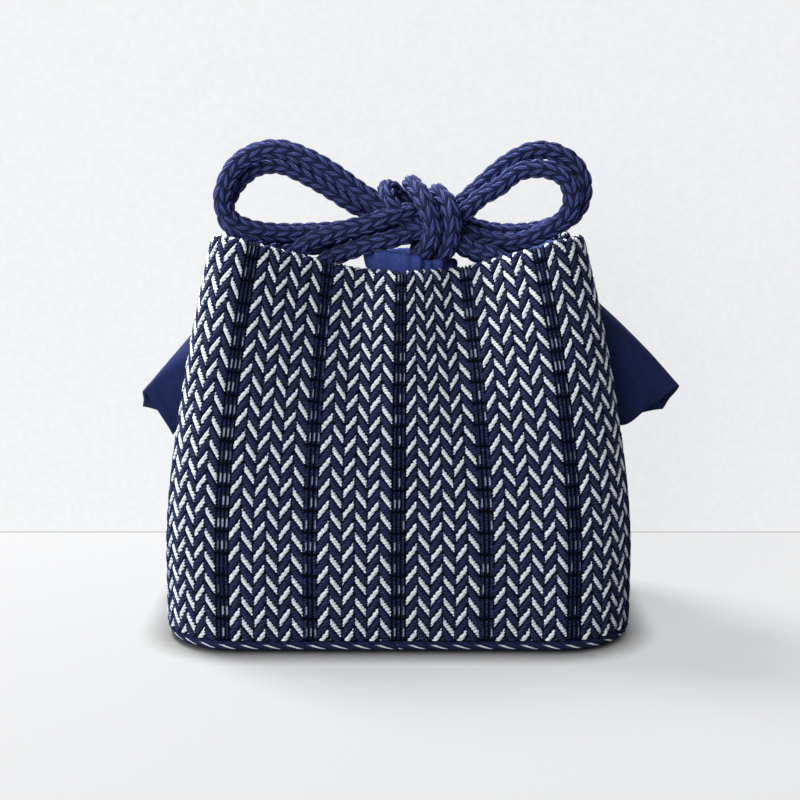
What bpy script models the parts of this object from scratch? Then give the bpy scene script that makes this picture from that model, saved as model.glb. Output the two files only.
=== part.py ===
"""Teaware storage pouch: a stiff herringbone-woven body on a woven base, a cotton
lining, a gathered cotton collar with a wing at each side, and two doubled cords
tied in a bow over the drawn mouth.

Run it with: blender --background --python part.py
Frame: metres, +Z up, +Y to the back, origin on the ground under the body's centre.
Places around the body are counted in sections of the weave: 0 is the middle of the
front, 4 the right side, 8 the back and 12 the left side.
"""

import math

import bpy
import numpy as np

MM = 0.001
GAP = 0.0003  # clearance between pieces that touch

# Woven body
WIDTH = 0.150
DEPTH = 0.090
HEIGHT = 0.128  # to the two high corners of the mouth
CORNER_RADIUS = 0.025
BOTTOM_RADIUS = 0.007
WALL = 0.003
BASE_THICKNESS = 0.004
SECTIONS = 16
RIGHT_FOLD, LEFT_FOLD = 4, 12  # sections where the sides fold in
FOLD_START = 0.025  # height at which the wall starts to draw in
FOLD_POWER = 1.8

# Mouth as the cords draw it: section, x, y in millimetres, and how far it lies below HEIGHT
MOUTH = (
    (0.00, 1.0, -22.0, 11.0),
    (0.46, 10.0, -18.5, 10.9),
    (0.92, 19.0, -13.5, 10.5),
    (2.17, 46.0, -30.0, 1.5),
    (2.49, 54.0, -26.5, 0.3),
    (2.83, 58.0, -18.0, 0.0),
    (3.15, 54.0, -10.0, 2.5),
    (4.00, 33.0, 0.0, 12.5),
    (4.85, 54.0, 10.0, 3.5),
    (5.17, 57.5, 18.0, 1.5),
    (5.51, 53.5, 26.0, 1.8),
    (5.83, 45.5, 29.5, 3.5),
    (7.08, 18.0, 13.5, 16.5),
    (7.54, 9.0, 18.5, 17.2),
    (8.00, 0.0, 22.0, 17.5),
    (8.40, -6.5, 19.0, 17.2),
    (8.80, -13.0, 15.0, 16.5),
    (10.19, -46.0, 28.0, 3.5),
    (10.50, -54.0, 25.0, 1.8),
    (10.85, -58.0, 16.5, 1.5),
    (11.18, -53.5, 8.5, 3.5),
    (12.00, -33.0, 0.0, 12.5),
    (12.86, -54.0, -8.5, 2.5),
    (13.21, -58.5, -16.5, 0.0),
    (13.56, -54.5, -25.0, 0.0),
    (13.91, -46.0, -28.5, 1.0),
    (15.38, -13.0, -15.5, 10.5),
    (15.69, -6.5, -19.0, 10.9),
)

# Weave: in each section a stitched stripe and six columns of slanting floats
STRIPE_SHARE = 0.15  # of a section's width
COLUMNS = 6
FLOAT_PITCH = 0.0085
FLOAT_RISE = 0.0055
RELIEF = 0.0013
EDGE_BAND = 0.0015  # plain turned edge at the foot and the mouth of the wall
INNER_ROWS = 6

# Lining and collar
LINING = 0.0012
COLLAR = 0.0012
EASE = 0.0020  # play between the wall and the cloth inside it
COLLAR_TURN = 0.0040  # the collar leaves the wall this far below the mouth
LINING_DROP = 0.0130  # the lining ends this far below the mouth
NECK_DROP = 0.0100  # the neck ends this far below HEIGHT
COLLAR_DROP = 0.0190  # and the cloth between mouth and neck dips this far below it
DIP_SLOPE = 0.8  # where neck and wall are close, it dips this share of the way between them
# From the turn to the neck: share of the way across, share of the fall to the dip
COLLAR_FALL = ((0.10, 0.20), (0.22, 0.50), (0.38, 0.85), (0.55, 1.0))
COLLAR_RISE = ((0.72, 1.0), (0.88, 0.85), (1.0, 0.5), (1.0, 0.1))
PLUG_SHARE = 0.72  # the gathers inside this share are one solid, flat underneath
CROWN_RISE = 0.0012  # the drawn neck closes in a low crown
CROWN_SHARE = 0.5  # of the neck's width
PLEAT_DEPTH = 0.0007
PLEATS = 14  # along each pleated stretch
SIDE_LINES = 15  # of the collar between a pleated stretch and a side fold
FRONT_PLEATS = (-0.62, 0.92)  # sections
BACK_PLEATS = (7.08, 8.80)
NECK_CENTRE = (3.0, 0.0)
NECK = (
    (0.00, 1.0, -10.5),
    (0.55, 9.0, -8.5),
    (0.92, 12.5, -5.5),
    (4.00, 16.0, 0.0),
    (7.08, 12.5, 5.5),
    (7.45, 9.0, 8.5),
    (8.00, 1.0, 10.5),
    (8.50, -5.0, 8.0),
    (8.80, -8.0, 5.0),
    (12.00, -10.0, 0.0),
    (15.38, -8.0, -5.0),
    (15.65, -5.0, -8.0),
)

# Wings: each point is how far it stands out from the side fold of the wall, then y, in
# millimetres, and how far below HEIGHT it lies. The ridge is on top, the edges hang.
WING_CLOTH = 0.0009
RIGHT_RIDGE = (
    (-4.0, 0.0, 8.5), (4.0, 0.0, 7.5), (16.0, 0.0, 11.5),
    (22.4, 0.0, 23.0), (27.6, 0.0, 38.0), (31.6, 0.0, 51.5),
)
RIGHT_FRONT = (
    (-3.5, -2.0, 11.4), (5.0, -2.3, 11.2), (10.0, -3.2, 19.0),
    (8.0, -4.5, 36.0), (6.0, -6.0, 61.4), (18.0, -5.0, 56.6),
)
RIGHT_BACK = (
    (-3.5, 2.0, 11.4), (5.0, 2.3, 11.2), (10.0, 3.2, 19.0),
    (8.0, 4.5, 36.0), (6.0, 6.0, 60.6), (19.0, 5.0, 57.8),
)
LEFT_RIDGE = (
    (-4.0, 0.0, 8.5), (4.0, 0.0, 7.5), (14.0, 0.0, 12.5),
    (17.9, 0.0, 24.0), (20.0, 0.0, 40.0), (22.0, 0.0, 53.3),
)
LEFT_FRONT = (
    (-3.5, -2.0, 11.4), (5.0, -2.3, 11.2), (9.0, -3.2, 21.0),
    (7.0, -4.5, 38.0), (5.0, -6.0, 57.6), (6.0, -6.0, 64.3),
)
LEFT_BACK = (
    (-3.5, 2.0, 11.4), (5.0, 2.3, 11.2), (9.0, 3.2, 21.0),
    (7.5, 4.5, 38.0), (7.0, 6.0, 56.5), (15.0, 5.5, 59.1),
)
WING_STEPS = 10
WING_HALF_ACROSS = 3
WING_CREST = 1.5  # cloths thick at the ridge

# Cords, in millimetres: each route runs from the knot outward, the ears back to it
CORD_DIAMETER = 0.0064
CORD_SPACING = 1.3  # diameters between the points of a tube
CORD_ROUTES = {
    "left_ear_outer": (
        (-7.6, -6.5, 138.0), (-12.9, -6.5, 141.3), (-20.8, -7.0, 146.9), (-28.7, -7.0, 151.3),
        (-37.2, -6.5, 154.1), (-45.2, -6.0, 153.1), (-51.6, -5.5, 149.1), (-55.2, -5.0, 143.0),
        (-56.3, -4.5, 136.9), (-53.8, -4.0, 131.8), (-48.8, -3.5, 129.1), (-42.7, -3.0, 127.8),
        (-34.7, -3.0, 127.5), (-25.1, -3.0, 127.8), (-15.5, -3.0, 128.5), (-9.8, -3.4, 128.8),
    ),
    "left_ear_inner": (
        (-8.5, 1.9, 133.3), (-14.9, -0.2, 136.6), (-22.5, -1.0, 141.5), (-29.9, -1.3, 145.7),
        (-37.5, -1.2, 148.9), (-44.6, -0.2, 148.5), (-49.8, 1.1, 145.6), (-53.8, 2.3, 141.1),
        (-56.2, 2.6, 135.9), (-55.9, 3.0, 131.4), (-52.1, 3.4, 126.8), (-45.7, 3.7, 123.9),
        (-36.7, 4.2, 122.6), (-25.4, 4.2, 122.9), (-14.0, 4.4, 124.9), (-7.5, 4.8, 126.4),
    ),
    "right_ear_outer": (
        (17.6, 2.4, 134.7), (24.3, 2.3, 140.0), (30.0, 2.2, 145.3), (34.5, 2.2, 149.0),
        (38.3, 2.2, 151.4), (42.8, 2.2, 153.3), (47.0, 2.2, 153.6), (51.1, 2.2, 152.7),
        (55.5, 2.2, 150.3), (58.3, 2.2, 146.9), (59.8, 2.4, 142.7), (59.6, 3.2, 137.8),
        (57.6, 4.4, 133.5), (54.2, 5.5, 130.5), (49.1, 6.5, 128.5), (44.2, 6.8, 127.3),
        (38.7, 6.8, 126.8), (32.9, 6.8, 126.9), (27.7, 6.8, 127.8), (21.0, 6.3, 129.5),
    ),
    "right_ear_inner": (
        (19.5, -3.8, 132.9), (26.4, -3.8, 138.8), (31.8, -3.8, 141.8), (37.0, -3.8, 146.1),
        (41.0, -3.8, 147.5), (47.3, -3.8, 147.7), (53.1, -3.8, 145.1), (55.4, -3.6, 140.7),
        (55.5, -3.0, 135.5), (52.7, -2.0, 131.2), (48.0, -0.9, 127.9), (42.3, -0.2, 125.2),
        (36.5, 0.2, 123.9), (31.1, 0.2, 124.2), (25.6, 0.0, 125.5), (21.5, -0.2, 127.0),
    ),
    "left_feed_upper": (
        (-6.0, -10.3, 132.2), (-11.6, -10.2, 130.3), (-16.6, -10.0, 129.2), (-20.8, -10.0, 127.9),
        (-24.9, -10.5, 126.4), (-29.0, -11.5, 124.6), (-32.8, -12.5, 121.2), (-35.4, -12.9, 118.2),
        (-36.6, -12.6, 116.6),
    ),
    "left_feed_lower": (
        (-5.3, -7.2, 124.9), (-9.6, -7.2, 124.0), (-15.5, -7.2, 122.0), (-21.8, -7.8, 119.6),
        (-26.6, -9.0, 116.4), (-29.6, -10.2, 113.2),
    ),
    "right_feed_front": (
        (19.0, -5.7, 125.3), (23.5, -5.7, 122.6), (28.0, -6.6, 121.4), (32.4, -8.8, 119.4),
        (34.8, -11.0, 117.6), (35.6, -11.6, 116.8),
    ),
    "right_feed_back": (
        (15.6, 3.0, 125.1), (23.8, 5.8, 120.9), (28.4, 7.0, 119.0), (32.4, 9.8, 117.6),
        (34.6, 11.6, 116.0), (35.2, 12.1, 115.4),
    ),
}

# Knot: a core, two wraps round it and the bend that stands out at the left
KNOT_CENTRE = (6.0, -4.0, 131.0)
KNOT_SIZE = (12.5, 7.5, 9.5)
WRAPS = (((6.0, -4.0, 132.9), 9.6, 27.0), ((13.0, -4.0, 131.4), 9.0, 20.0))  # centre, radius, turn
WRAP_THICKNESS = 0.0062
NUB = ((-2.8, -1.5, 138.6), 4.4)  # centre and radius

WOVEN_NAVY = (0.030, 0.038, 0.110)
COTTON_NAVY = (0.035, 0.050, 0.220)
CORD_NAVY = (0.028, 0.040, 0.170)

STRAIGHT_X = WIDTH - 2 * CORNER_RADIUS
STRAIGHT_Y = DEPTH - 2 * CORNER_RADIUS
ARC = CORNER_RADIUS * math.pi / 2
PERIMETER = 2 * (STRAIGHT_X + STRAIGHT_Y) + 4 * ARC
SECTION = PERIMETER / SECTIONS


def closed_curve(knots, at):
    """The value at this section of a smooth closed curve through the knots."""
    places = [knot[0] for knot in knots]
    count = len(knots)
    at %= SECTIONS
    after = next((i for i, place in enumerate(places) if place > at), count)

    def knot(i):
        turns, i = divmod(i, count)
        return places[i] + turns * SECTIONS, np.array(knots[i][1:])

    (s0, a), (s1, b), (s2, c), (s3, d) = (knot(after + step) for step in (-2, -1, 0, 1))
    span = s2 - s1
    t = (at - s1) / span
    start = (c - a) / (s2 - s0) * span
    end = (d - b) / (s3 - s1) * span
    return (
        (2 * t**3 - 3 * t**2 + 1) * b
        + (t**3 - 2 * t**2 + t) * start
        + (3 * t**2 - 2 * t**3) * c
        + (t**3 - t**2) * end
    )


def open_curve(points, steps):
    """Evenly numbered points of a smooth curve through these points."""
    points = np.array(points, float)
    ends = np.vstack([2 * points[0] - points[1], points, 2 * points[-1] - points[-2]])
    found = []
    for t in np.linspace(0, len(points) - 1, steps + 1):
        i = min(int(t), len(points) - 2)
        a, b, c, d = ends[i : i + 4]
        t -= i
        found.append(
            b
            + 0.5 * t * (c - a)
            + t**2 * (a - 2.5 * b + 2 * c - 0.5 * d)
            + 0.5 * t**3 * (3 * b - 3 * c + d - a)
        )
    return np.array(found)


def outline(section, inset):
    """The rounded rectangle of the body, moved inward by inset."""
    quarter, along = divmod(section % SECTIONS * SECTION, PERIMETER / 2)
    side = -1 if quarter else 1
    half_x, half_y = STRAIGHT_X / 2, STRAIGHT_Y / 2
    radius = CORNER_RADIUS - inset
    if along < half_x:
        x, y = along, -half_y - radius
    elif along < half_x + ARC:
        angle = (along - half_x) / CORNER_RADIUS
        x, y = half_x + radius * math.sin(angle), -half_y - radius * math.cos(angle)
    elif along < half_x + ARC + STRAIGHT_Y:
        x, y = half_x + radius, along - half_x - ARC - half_y
    elif along < half_x + 2 * ARC + STRAIGHT_Y:
        angle = (along - half_x - ARC - STRAIGHT_Y) / CORNER_RADIUS
        x, y = half_x + radius * math.cos(angle), half_y + radius * math.sin(angle)
    else:
        x, y = PERIMETER / 2 - along, half_y + radius
    return np.array((side * x, side * y))


def edge_inset(z):
    """How far the rounded bottom edge pulls the outline in at this height."""
    if z >= BOTTOM_RADIUS:
        return 0.0
    return BOTTOM_RADIUS - math.sqrt(BOTTOM_RADIUS**2 - (BOTTOM_RADIUS - z) ** 2)


def mouth_height(section):
    return HEIGHT - closed_curve(MOUTH, section)[2] * MM


def wall_plan(section, z):
    """Where the outer face of the wall is at this height, in plan."""
    mouth = closed_curve(MOUTH, section)
    top = HEIGHT - mouth[2] * MM
    pull = max(0.0, (z - FOLD_START) / (top - FOLD_START)) ** FOLD_POWER
    standing = outline(section, edge_inset(z))
    return standing + pull * (mouth[:2] * MM - standing)


def wall_point(section, z, inward=0.0):
    """A point of the wall, inward from its outer face."""
    step = 0.02
    along = wall_plan(section + step, z) - wall_plan(section - step, z)
    along /= np.linalg.norm(along)
    x, y = wall_plan(section, z) + inward * np.array((-along[1], along[0]))
    return np.array((x, y, z))


def wall_ring(places, below, inward):
    """A ring of the wall at a distance below the mouth, or at its foot where that is None."""
    foot = BASE_THICKNESS + GAP
    heights = [foot if below is None else mouth_height(place) - below for place in places]
    return [wall_point(place, z, inward) for place, z in zip(places, heights)]


def solid_of_rings(name, rings, colour, roughness, ends):
    """A closed solid through rings of as many points. The ends are joined or capped."""
    count = len(rings[0])
    points = [tuple(point) for ring in rings for point in ring]
    last = len(rings) if ends == "joined" else len(rings) - 1
    faces = []
    for row in range(last):
        lower, upper = row * count, (row + 1) % len(rings) * count
        for i in range(count):
            after = (i + 1) % count
            faces.append((lower + i, lower + after, upper + after, upper + i))
    if ends == "capped":
        faces.append(tuple(reversed(range(count))))
        faces.append(tuple(range(len(points) - count, len(points))))
    return mesh_object(name, points, faces, colour, roughness)


def mesh_object(name, points, faces, colour, roughness):
    mesh = bpy.data.meshes.new(name)
    mesh.from_pydata(points, [], faces)
    mesh.shade_smooth()
    mesh.set_sharp_from_angle(angle=math.radians(40))
    return finished(bpy.data.objects.new(name, mesh), colour, roughness)


def finished(item, colour, roughness):
    """Gives an object its own material and links it to the scene."""
    material = bpy.data.materials.new(item.name)
    material.use_nodes = True
    shader = material.node_tree.nodes["Principled BSDF"]
    shader.inputs["Base Color"].default_value = (*colour, 1)
    shader.inputs["Roughness"].default_value = roughness
    shader.inputs["Metallic"].default_value = 0
    item.data.materials.append(material)
    bpy.context.collection.objects.link(item)
    return item


def weave_lines():
    """Places of the lines between the columns, each with whether floats peak there."""
    column = (1 - STRIPE_SHARE) / COLUMNS
    for section in range(SECTIONS):
        for line in range(COLUMNS + 1):
            yield section + STRIPE_SHARE / 2 + line * column, line % 2 == 1


def woven_wall():
    """The tube of herringbone weave, with its floats as zigzag ridges."""
    lines = list(weave_lines())
    places = [place for place, _ in lines]
    foot = BASE_THICKNESS + GAP
    middle = HEIGHT - max(knot[3] for knot in MOUTH) * MM - foot
    rows = int((middle - 2 * EDGE_BAND - FLOAT_RISE) / (FLOAT_PITCH / 2))
    rings = [wall_ring(places, None, 0)]
    for row in range(rows + 1):
        ring = []
        for place, peak in lines:
            share = (EDGE_BAND + row * FLOAT_PITCH / 2 + peak * FLOAT_RISE) / middle
            z = foot + share * (mouth_height(place) - foot)
            sunk = RELIEF if row % 2 else 0
            ring.append(wall_point(place, z, sunk))
        rings.append(ring)
    rings.append(wall_ring(places, EDGE_BAND / 2, 0))
    rings.append(wall_ring(places, 0, WALL / 2))
    rings.append(wall_ring(places, EDGE_BAND / 2, WALL))
    for row in range(1, INNER_ROWS):
        heights = [foot + (1 - row / INNER_ROWS) * (mouth_height(place) - foot) for place in places]
        rings.append([wall_point(place, z, WALL) for place, z in zip(places, heights)])
    rings.append(wall_ring(places, None, WALL))
    return solid_of_rings("woven_wall", rings, WOVEN_NAVY, 0.85, "joined")


def woven_base():
    """The flat base panel, whose edge carries on the wall's rounding."""
    places = [section + step / 4 for section in range(SECTIONS) for step in range(4)]
    rings = []
    for share in (0.0, 0.06, 0.25, 0.6, 1.0):
        z = share * BASE_THICKNESS
        rings.append([(*outline(place, edge_inset(z)), z) for place in places])
    return solid_of_rings("woven_base", rings, WOVEN_NAVY, 0.85, "capped")


def lining_bag():
    """The cotton bag inside, open at the top, with its floor on the base."""
    places = [section + step / 4 for section in range(SECTIONS) for step in range(4)]
    floor = BASE_THICKNESS + GAP
    outside, inside = WALL + EASE, WALL + EASE + LINING
    shares = np.linspace(0, 1, 8)

    def ring(share, inward, start):
        tops = [mouth_height(place) - LINING_DROP for place in places]
        heights = [start + share * (top - start) for top in tops]
        return [wall_point(place, z, inward) for place, z in zip(places, heights)]

    rings = [ring(share, outside, floor) for share in shares]
    rings += [ring(share, inside, floor + LINING) for share in reversed(shares)]
    return solid_of_rings("lining_bag", rings, COTTON_NAVY, 0.9, "capped")


def collar_places():
    """Lines of the collar: close together where the neck is pleated, wide at the sides."""
    front, back = (np.linspace(*ends, 2 * PLEATS + 1) for ends in (FRONT_PLEATS, BACK_PLEATS))
    right = np.linspace(FRONT_PLEATS[1], BACK_PLEATS[0], 2 * SIDE_LINES + 1)[1:-1]
    left = [*np.linspace(BACK_PLEATS[1], LEFT_FOLD, SIDE_LINES + 1)[1:]]
    left += [*np.linspace(LEFT_FOLD, SECTIONS + FRONT_PLEATS[0], SIDE_LINES + 1)[1:-1]]
    return [*front, *right, *back, *left]


def gathered_collar():
    """The cotton collar: sewn inside the mouth, drawn together to a pleated neck."""
    places = collar_places()
    centre = np.array(NECK_CENTRE) * MM
    turn = np.array(wall_ring(places, COLLAR_TURN, WALL + EASE))
    level = HEIGHT - COLLAR_DROP

    def ring(share, dip, pleat):
        points = []
        for i, (place, start) in enumerate(zip(places, turn)):
            neck = closed_curve(NECK, place) * MM
            out = (neck - centre) / np.linalg.norm(neck - centre)
            goal = neck - (pleat * share if i % 4 < 2 else 0) * out
            across = goal - start[:2]
            high = start[2] + share * (HEIGHT - NECK_DROP - start[2])
            fall = min(high - level, DIP_SLOPE * np.linalg.norm(across))
            points.append((*(start[:2] + share * across), high - dip * fall))
        return np.array(points)

    upper = [turn] + [ring(share, dip, PLEAT_DEPTH) for share, dip in COLLAR_FALL + COLLAR_RISE]
    crown = np.mean(upper[-1], axis=0) + np.array((0, 0, CROWN_RISE))
    upper.append(crown + CROWN_SHARE * (upper[-1] - crown))
    plug = ring(PLUG_SHARE, 1, 0)
    plug[:, 2] = level
    under = [turn] + [ring(share, dip, 0) for share, dip in COLLAR_FALL] + [plug]
    under = [points - np.array((0, 0, COLLAR)) for points in reversed(under)]
    return solid_of_rings("gathered_collar", under + upper, COTTON_NAVY, 0.9, "capped")


def wing_edge(points, side):
    """World points of a wing's list. The side is 1 at the right and -1 at the left."""
    section = RIGHT_FOLD if side > 0 else LEFT_FOLD
    places = []
    for out, y, below in points:
        z = HEIGHT - below * MM
        fold = wall_plan(section, min(z, mouth_height(section)))[0]
        places.append((fold + side * out * MM, y * MM, z))
    return open_curve(places, WING_STEPS)


def toward(start, end, distance):
    """The point at this distance from start on the way to end."""
    way = end - start
    return start + distance * way / np.linalg.norm(way)


def wing(name, ridge, front, back, side):
    """A wing: doubled cotton folded over a ridge that stands out over the side fold."""
    sections = []
    for crest, near, far in zip(*(wing_edge(points, side) for points in (ridge, front, back))):
        crest_inside = toward(crest, (near + far) / 2, WING_CREST * WING_CLOTH)
        near_inside = toward(near, far, WING_CLOTH)
        far_inside = toward(far, near, WING_CLOTH)
        corners = (near, crest, far, far_inside, crest_inside, near_inside)
        section = []
        for start, end in zip(corners, corners[1:]):
            section += [start + (end - start) * i / WING_HALF_ACROSS for i in range(WING_HALF_ACROSS)]
        sections.append(section + [near_inside])
    return solid_of_rings(name, sections[::-side], COTTON_NAVY, 0.9, "capped")


def cord_tube(name, route):
    """One stretch of cord as a round tube along its route."""
    fine = open_curve(np.array(route) * MM, 200)
    steps = np.linalg.norm(np.diff(fine, axis=0), axis=1)
    travelled = np.concatenate([[0], np.cumsum(steps)])
    count = max(3, round(travelled[-1] / (CORD_SPACING * CORD_DIAMETER)))
    curve = bpy.data.curves.new(name, "CURVE")
    curve.dimensions = "3D"
    curve.bevel_depth = CORD_DIAMETER / 2
    curve.bevel_resolution = 2
    curve.use_fill_caps = True
    spline = curve.splines.new("POLY")
    spline.points.add(count)
    for i, point in enumerate(spline.points):
        at = travelled[-1] * i / count
        point.co = (*(np.interp(at, travelled, fine[:, axis]) for axis in range(3)), 1)
    return finished(bpy.data.objects.new(name, curve), CORD_NAVY, 0.8)


def bow_knot():
    """The knot in the middle of the bow, as one solid of its core, wraps and bend."""
    bpy.ops.mesh.primitive_uv_sphere_add(segments=20, ring_count=12, location=np.array(KNOT_CENTRE) * MM)
    knot = bpy.context.object
    knot.name = "bow_knot"
    knot.scale = np.array(KNOT_SIZE) * MM
    parts = []
    for centre, radius, turn in WRAPS:
        bpy.ops.mesh.primitive_torus_add(
            location=np.array(centre) * MM,
            rotation=(0, math.radians(90), math.radians(turn)),
            major_radius=radius * MM,
            minor_radius=WRAP_THICKNESS / 2,
            major_segments=24,
            minor_segments=8,
        )
        parts.append(bpy.context.object)
    centre, radius = NUB
    bpy.ops.mesh.primitive_uv_sphere_add(
        segments=14, ring_count=8, radius=radius * MM, location=np.array(centre) * MM
    )
    parts.append(bpy.context.object)
    for part in parts:
        part.hide_render = True
        part.display_type = "WIRE"
        union = knot.modifiers.new(part.name, "BOOLEAN")
        union.operation = "UNION"
        union.object = part
    knot.data.shade_smooth()
    bpy.context.collection.objects.unlink(knot)
    return finished(knot, CORD_NAVY, 0.8)


def main():
    for item in list(bpy.data.objects):
        bpy.data.objects.remove(item)
    woven_wall()
    woven_base()
    lining_bag()
    gathered_collar()
    wing("right_wing", RIGHT_RIDGE, RIGHT_FRONT, RIGHT_BACK, 1)
    wing("left_wing", LEFT_RIDGE, LEFT_FRONT, LEFT_BACK, -1)
    for name, route in CORD_ROUTES.items():
        cord_tube(name, route)
    bow_knot()


main()
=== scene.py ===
"""Looks of the herringbone teaware pouch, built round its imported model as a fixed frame.

Places around the body are counted in sections of the weave: 0 is the middle of the front,
4 the right side, 8 the back and 12 the left side. Lengths are in metres.
"""

import functools
import math

import bpy
import numpy as np
from bpy.props import FloatProperty, FloatVectorProperty, IntProperty, PointerProperty
from bpy.types import Operator, Panel, PropertyGroup
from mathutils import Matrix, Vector


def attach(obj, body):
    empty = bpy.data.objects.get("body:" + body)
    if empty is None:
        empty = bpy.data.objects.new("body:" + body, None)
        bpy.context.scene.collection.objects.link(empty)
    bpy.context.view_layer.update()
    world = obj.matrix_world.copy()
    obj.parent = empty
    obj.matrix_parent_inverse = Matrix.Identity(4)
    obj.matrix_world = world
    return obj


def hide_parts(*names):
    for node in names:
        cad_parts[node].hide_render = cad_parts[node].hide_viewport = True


bl_info = {
    "name": "Herringbone Teaware Pouch",
    "version": (1, 0, 0),
    "blender": (4, 5, 0),
    "location": "3D View > Sidebar > Pouch",
    "description": "Builds a woven teaware pouch with its cotton collar and tied cords",
    "category": "Object",
}

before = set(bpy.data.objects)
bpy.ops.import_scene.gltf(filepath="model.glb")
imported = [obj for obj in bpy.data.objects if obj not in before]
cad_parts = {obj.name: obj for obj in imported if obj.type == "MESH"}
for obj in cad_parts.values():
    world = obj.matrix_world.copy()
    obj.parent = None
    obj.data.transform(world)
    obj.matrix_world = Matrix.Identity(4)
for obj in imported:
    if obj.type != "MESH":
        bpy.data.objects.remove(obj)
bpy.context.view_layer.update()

MM = 0.001
SECTIONS = 16
RIGHT_FOLD, LEFT_FOLD = 4, 12
SIDE_SEAM = 12  # the section at which the woven cloth is closed to a tube
BASE_SEAM = 0.0003  # gap between the wall and the base panel
YARN_ROUNDNESS = 2.4  # power of a yarn's profile: higher is flatter on top

# Mouth as the cords draw it: section, x, y, and how far below the full height, in millimetres
MOUTH = (
    (0.00, 1.0, -22.0, 11.0),
    (0.46, 10.0, -18.5, 10.9),
    (0.92, 19.0, -13.5, 10.5),
    (2.17, 46.0, -30.0, 1.5),
    (2.49, 54.0, -26.5, 0.3),
    (2.83, 58.0, -18.0, 0.0),
    (3.15, 54.0, -10.0, 2.5),
    (4.00, 33.0, 0.0, 12.5),
    (4.85, 54.0, 10.0, 3.5),
    (5.17, 57.5, 18.0, 1.5),
    (5.51, 53.5, 26.0, 1.8),
    (5.83, 45.5, 29.5, 3.5),
    (7.08, 18.0, 13.5, 16.5),
    (7.54, 9.0, 18.5, 17.2),
    (8.00, 0.0, 22.0, 17.5),
    (8.40, -6.5, 19.0, 17.2),
    (8.80, -13.0, 15.0, 16.5),
    (10.19, -46.0, 28.0, 3.5),
    (10.50, -54.0, 25.0, 1.8),
    (10.85, -58.0, 16.5, 1.5),
    (11.18, -53.5, 8.5, 3.5),
    (12.00, -33.0, 0.0, 12.5),
    (12.86, -54.0, -8.5, 2.5),
    (13.21, -58.5, -16.5, 0.0),
    (13.56, -54.5, -25.0, 0.0),
    (13.91, -46.0, -28.5, 1.0),
    (15.38, -13.0, -15.5, 10.5),
    (15.69, -6.5, -19.0, 10.9),
)
# Fold of the collar where the cords gather it: section, x, y, and below the full height, in millimetres
NECK = (
    (0.00, 3.0, -11.5, 6.6),
    (0.55, 10.0, -10.0, 8.6),
    (0.92, 14.5, -6.5, 8.6),
    (4.00, 17.5, 0.0, 9.5),
    (7.08, 14.0, 6.0, 9.0),
    (7.45, 9.0, 8.5, 7.6),
    (8.00, 1.0, 10.5, 6.6),
    (8.50, -5.0, 8.0, 6.6),
    (8.80, -8.0, 5.0, 6.6),
    (12.00, -10.0, 0.0, 6.2),
    (15.38, -9.0, -6.0, 5.6),
    (15.65, -5.0, -9.5, 6.0),
)
NECK_CENTRE = (0.003, 0.0)
CREASE = 15.44  # the section of the deep crease at the left of the collar's fold

# Wings: out from the side fold, y, and below the full height, in millimetres
RIGHT_WING = {
    "ridge": (
        (-4.0, 0.0, 8.5), (4.0, 0.0, 7.5), (16.6, 0.0, 11.5),
        (23.6, 0.0, 23.0), (29.0, 0.0, 38.0), (33.3, 0.0, 51.2),
    ),
    "front": (
        (-3.5, -2.0, 11.4), (5.0, -2.3, 11.2), (10.0, -3.2, 19.0),
        (8.0, -4.5, 36.0), (6.0, -6.0, 62.4), (22.0, -5.0, 56.1),
    ),
    "back": (
        (-3.5, 2.0, 11.4), (5.0, 2.3, 11.2), (10.0, 3.2, 19.0),
        (8.0, 4.5, 36.0), (6.0, 6.0, 61.0), (24.6, 5.0, 59.3),
    ),
}
LEFT_WING = {
    "ridge": (
        (-4.0, 0.0, 8.5), (4.0, 0.0, 7.5), (14.0, 0.0, 12.5),
        (16.4, -2.5, 24.0), (19.4, -5.5, 39.4), (22.8, -8.5, 51.4),
    ),
    "front": (
        (-3.5, -2.0, 11.4), (5.0, -2.3, 11.2), (9.0, -2.6, 21.0),
        (7.0, -3.0, 38.0), (5.0, -4.0, 57.6), (7.6, -5.0, 66.6),
    ),
    "back": (
        (-3.5, 2.0, 11.4), (5.0, 2.3, 11.2), (9.0, 3.2, 21.0),
        (7.5, 4.5, 38.0), (7.0, 5.5, 60.0), (22.0, 4.0, 58.2),
    ),
}

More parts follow.
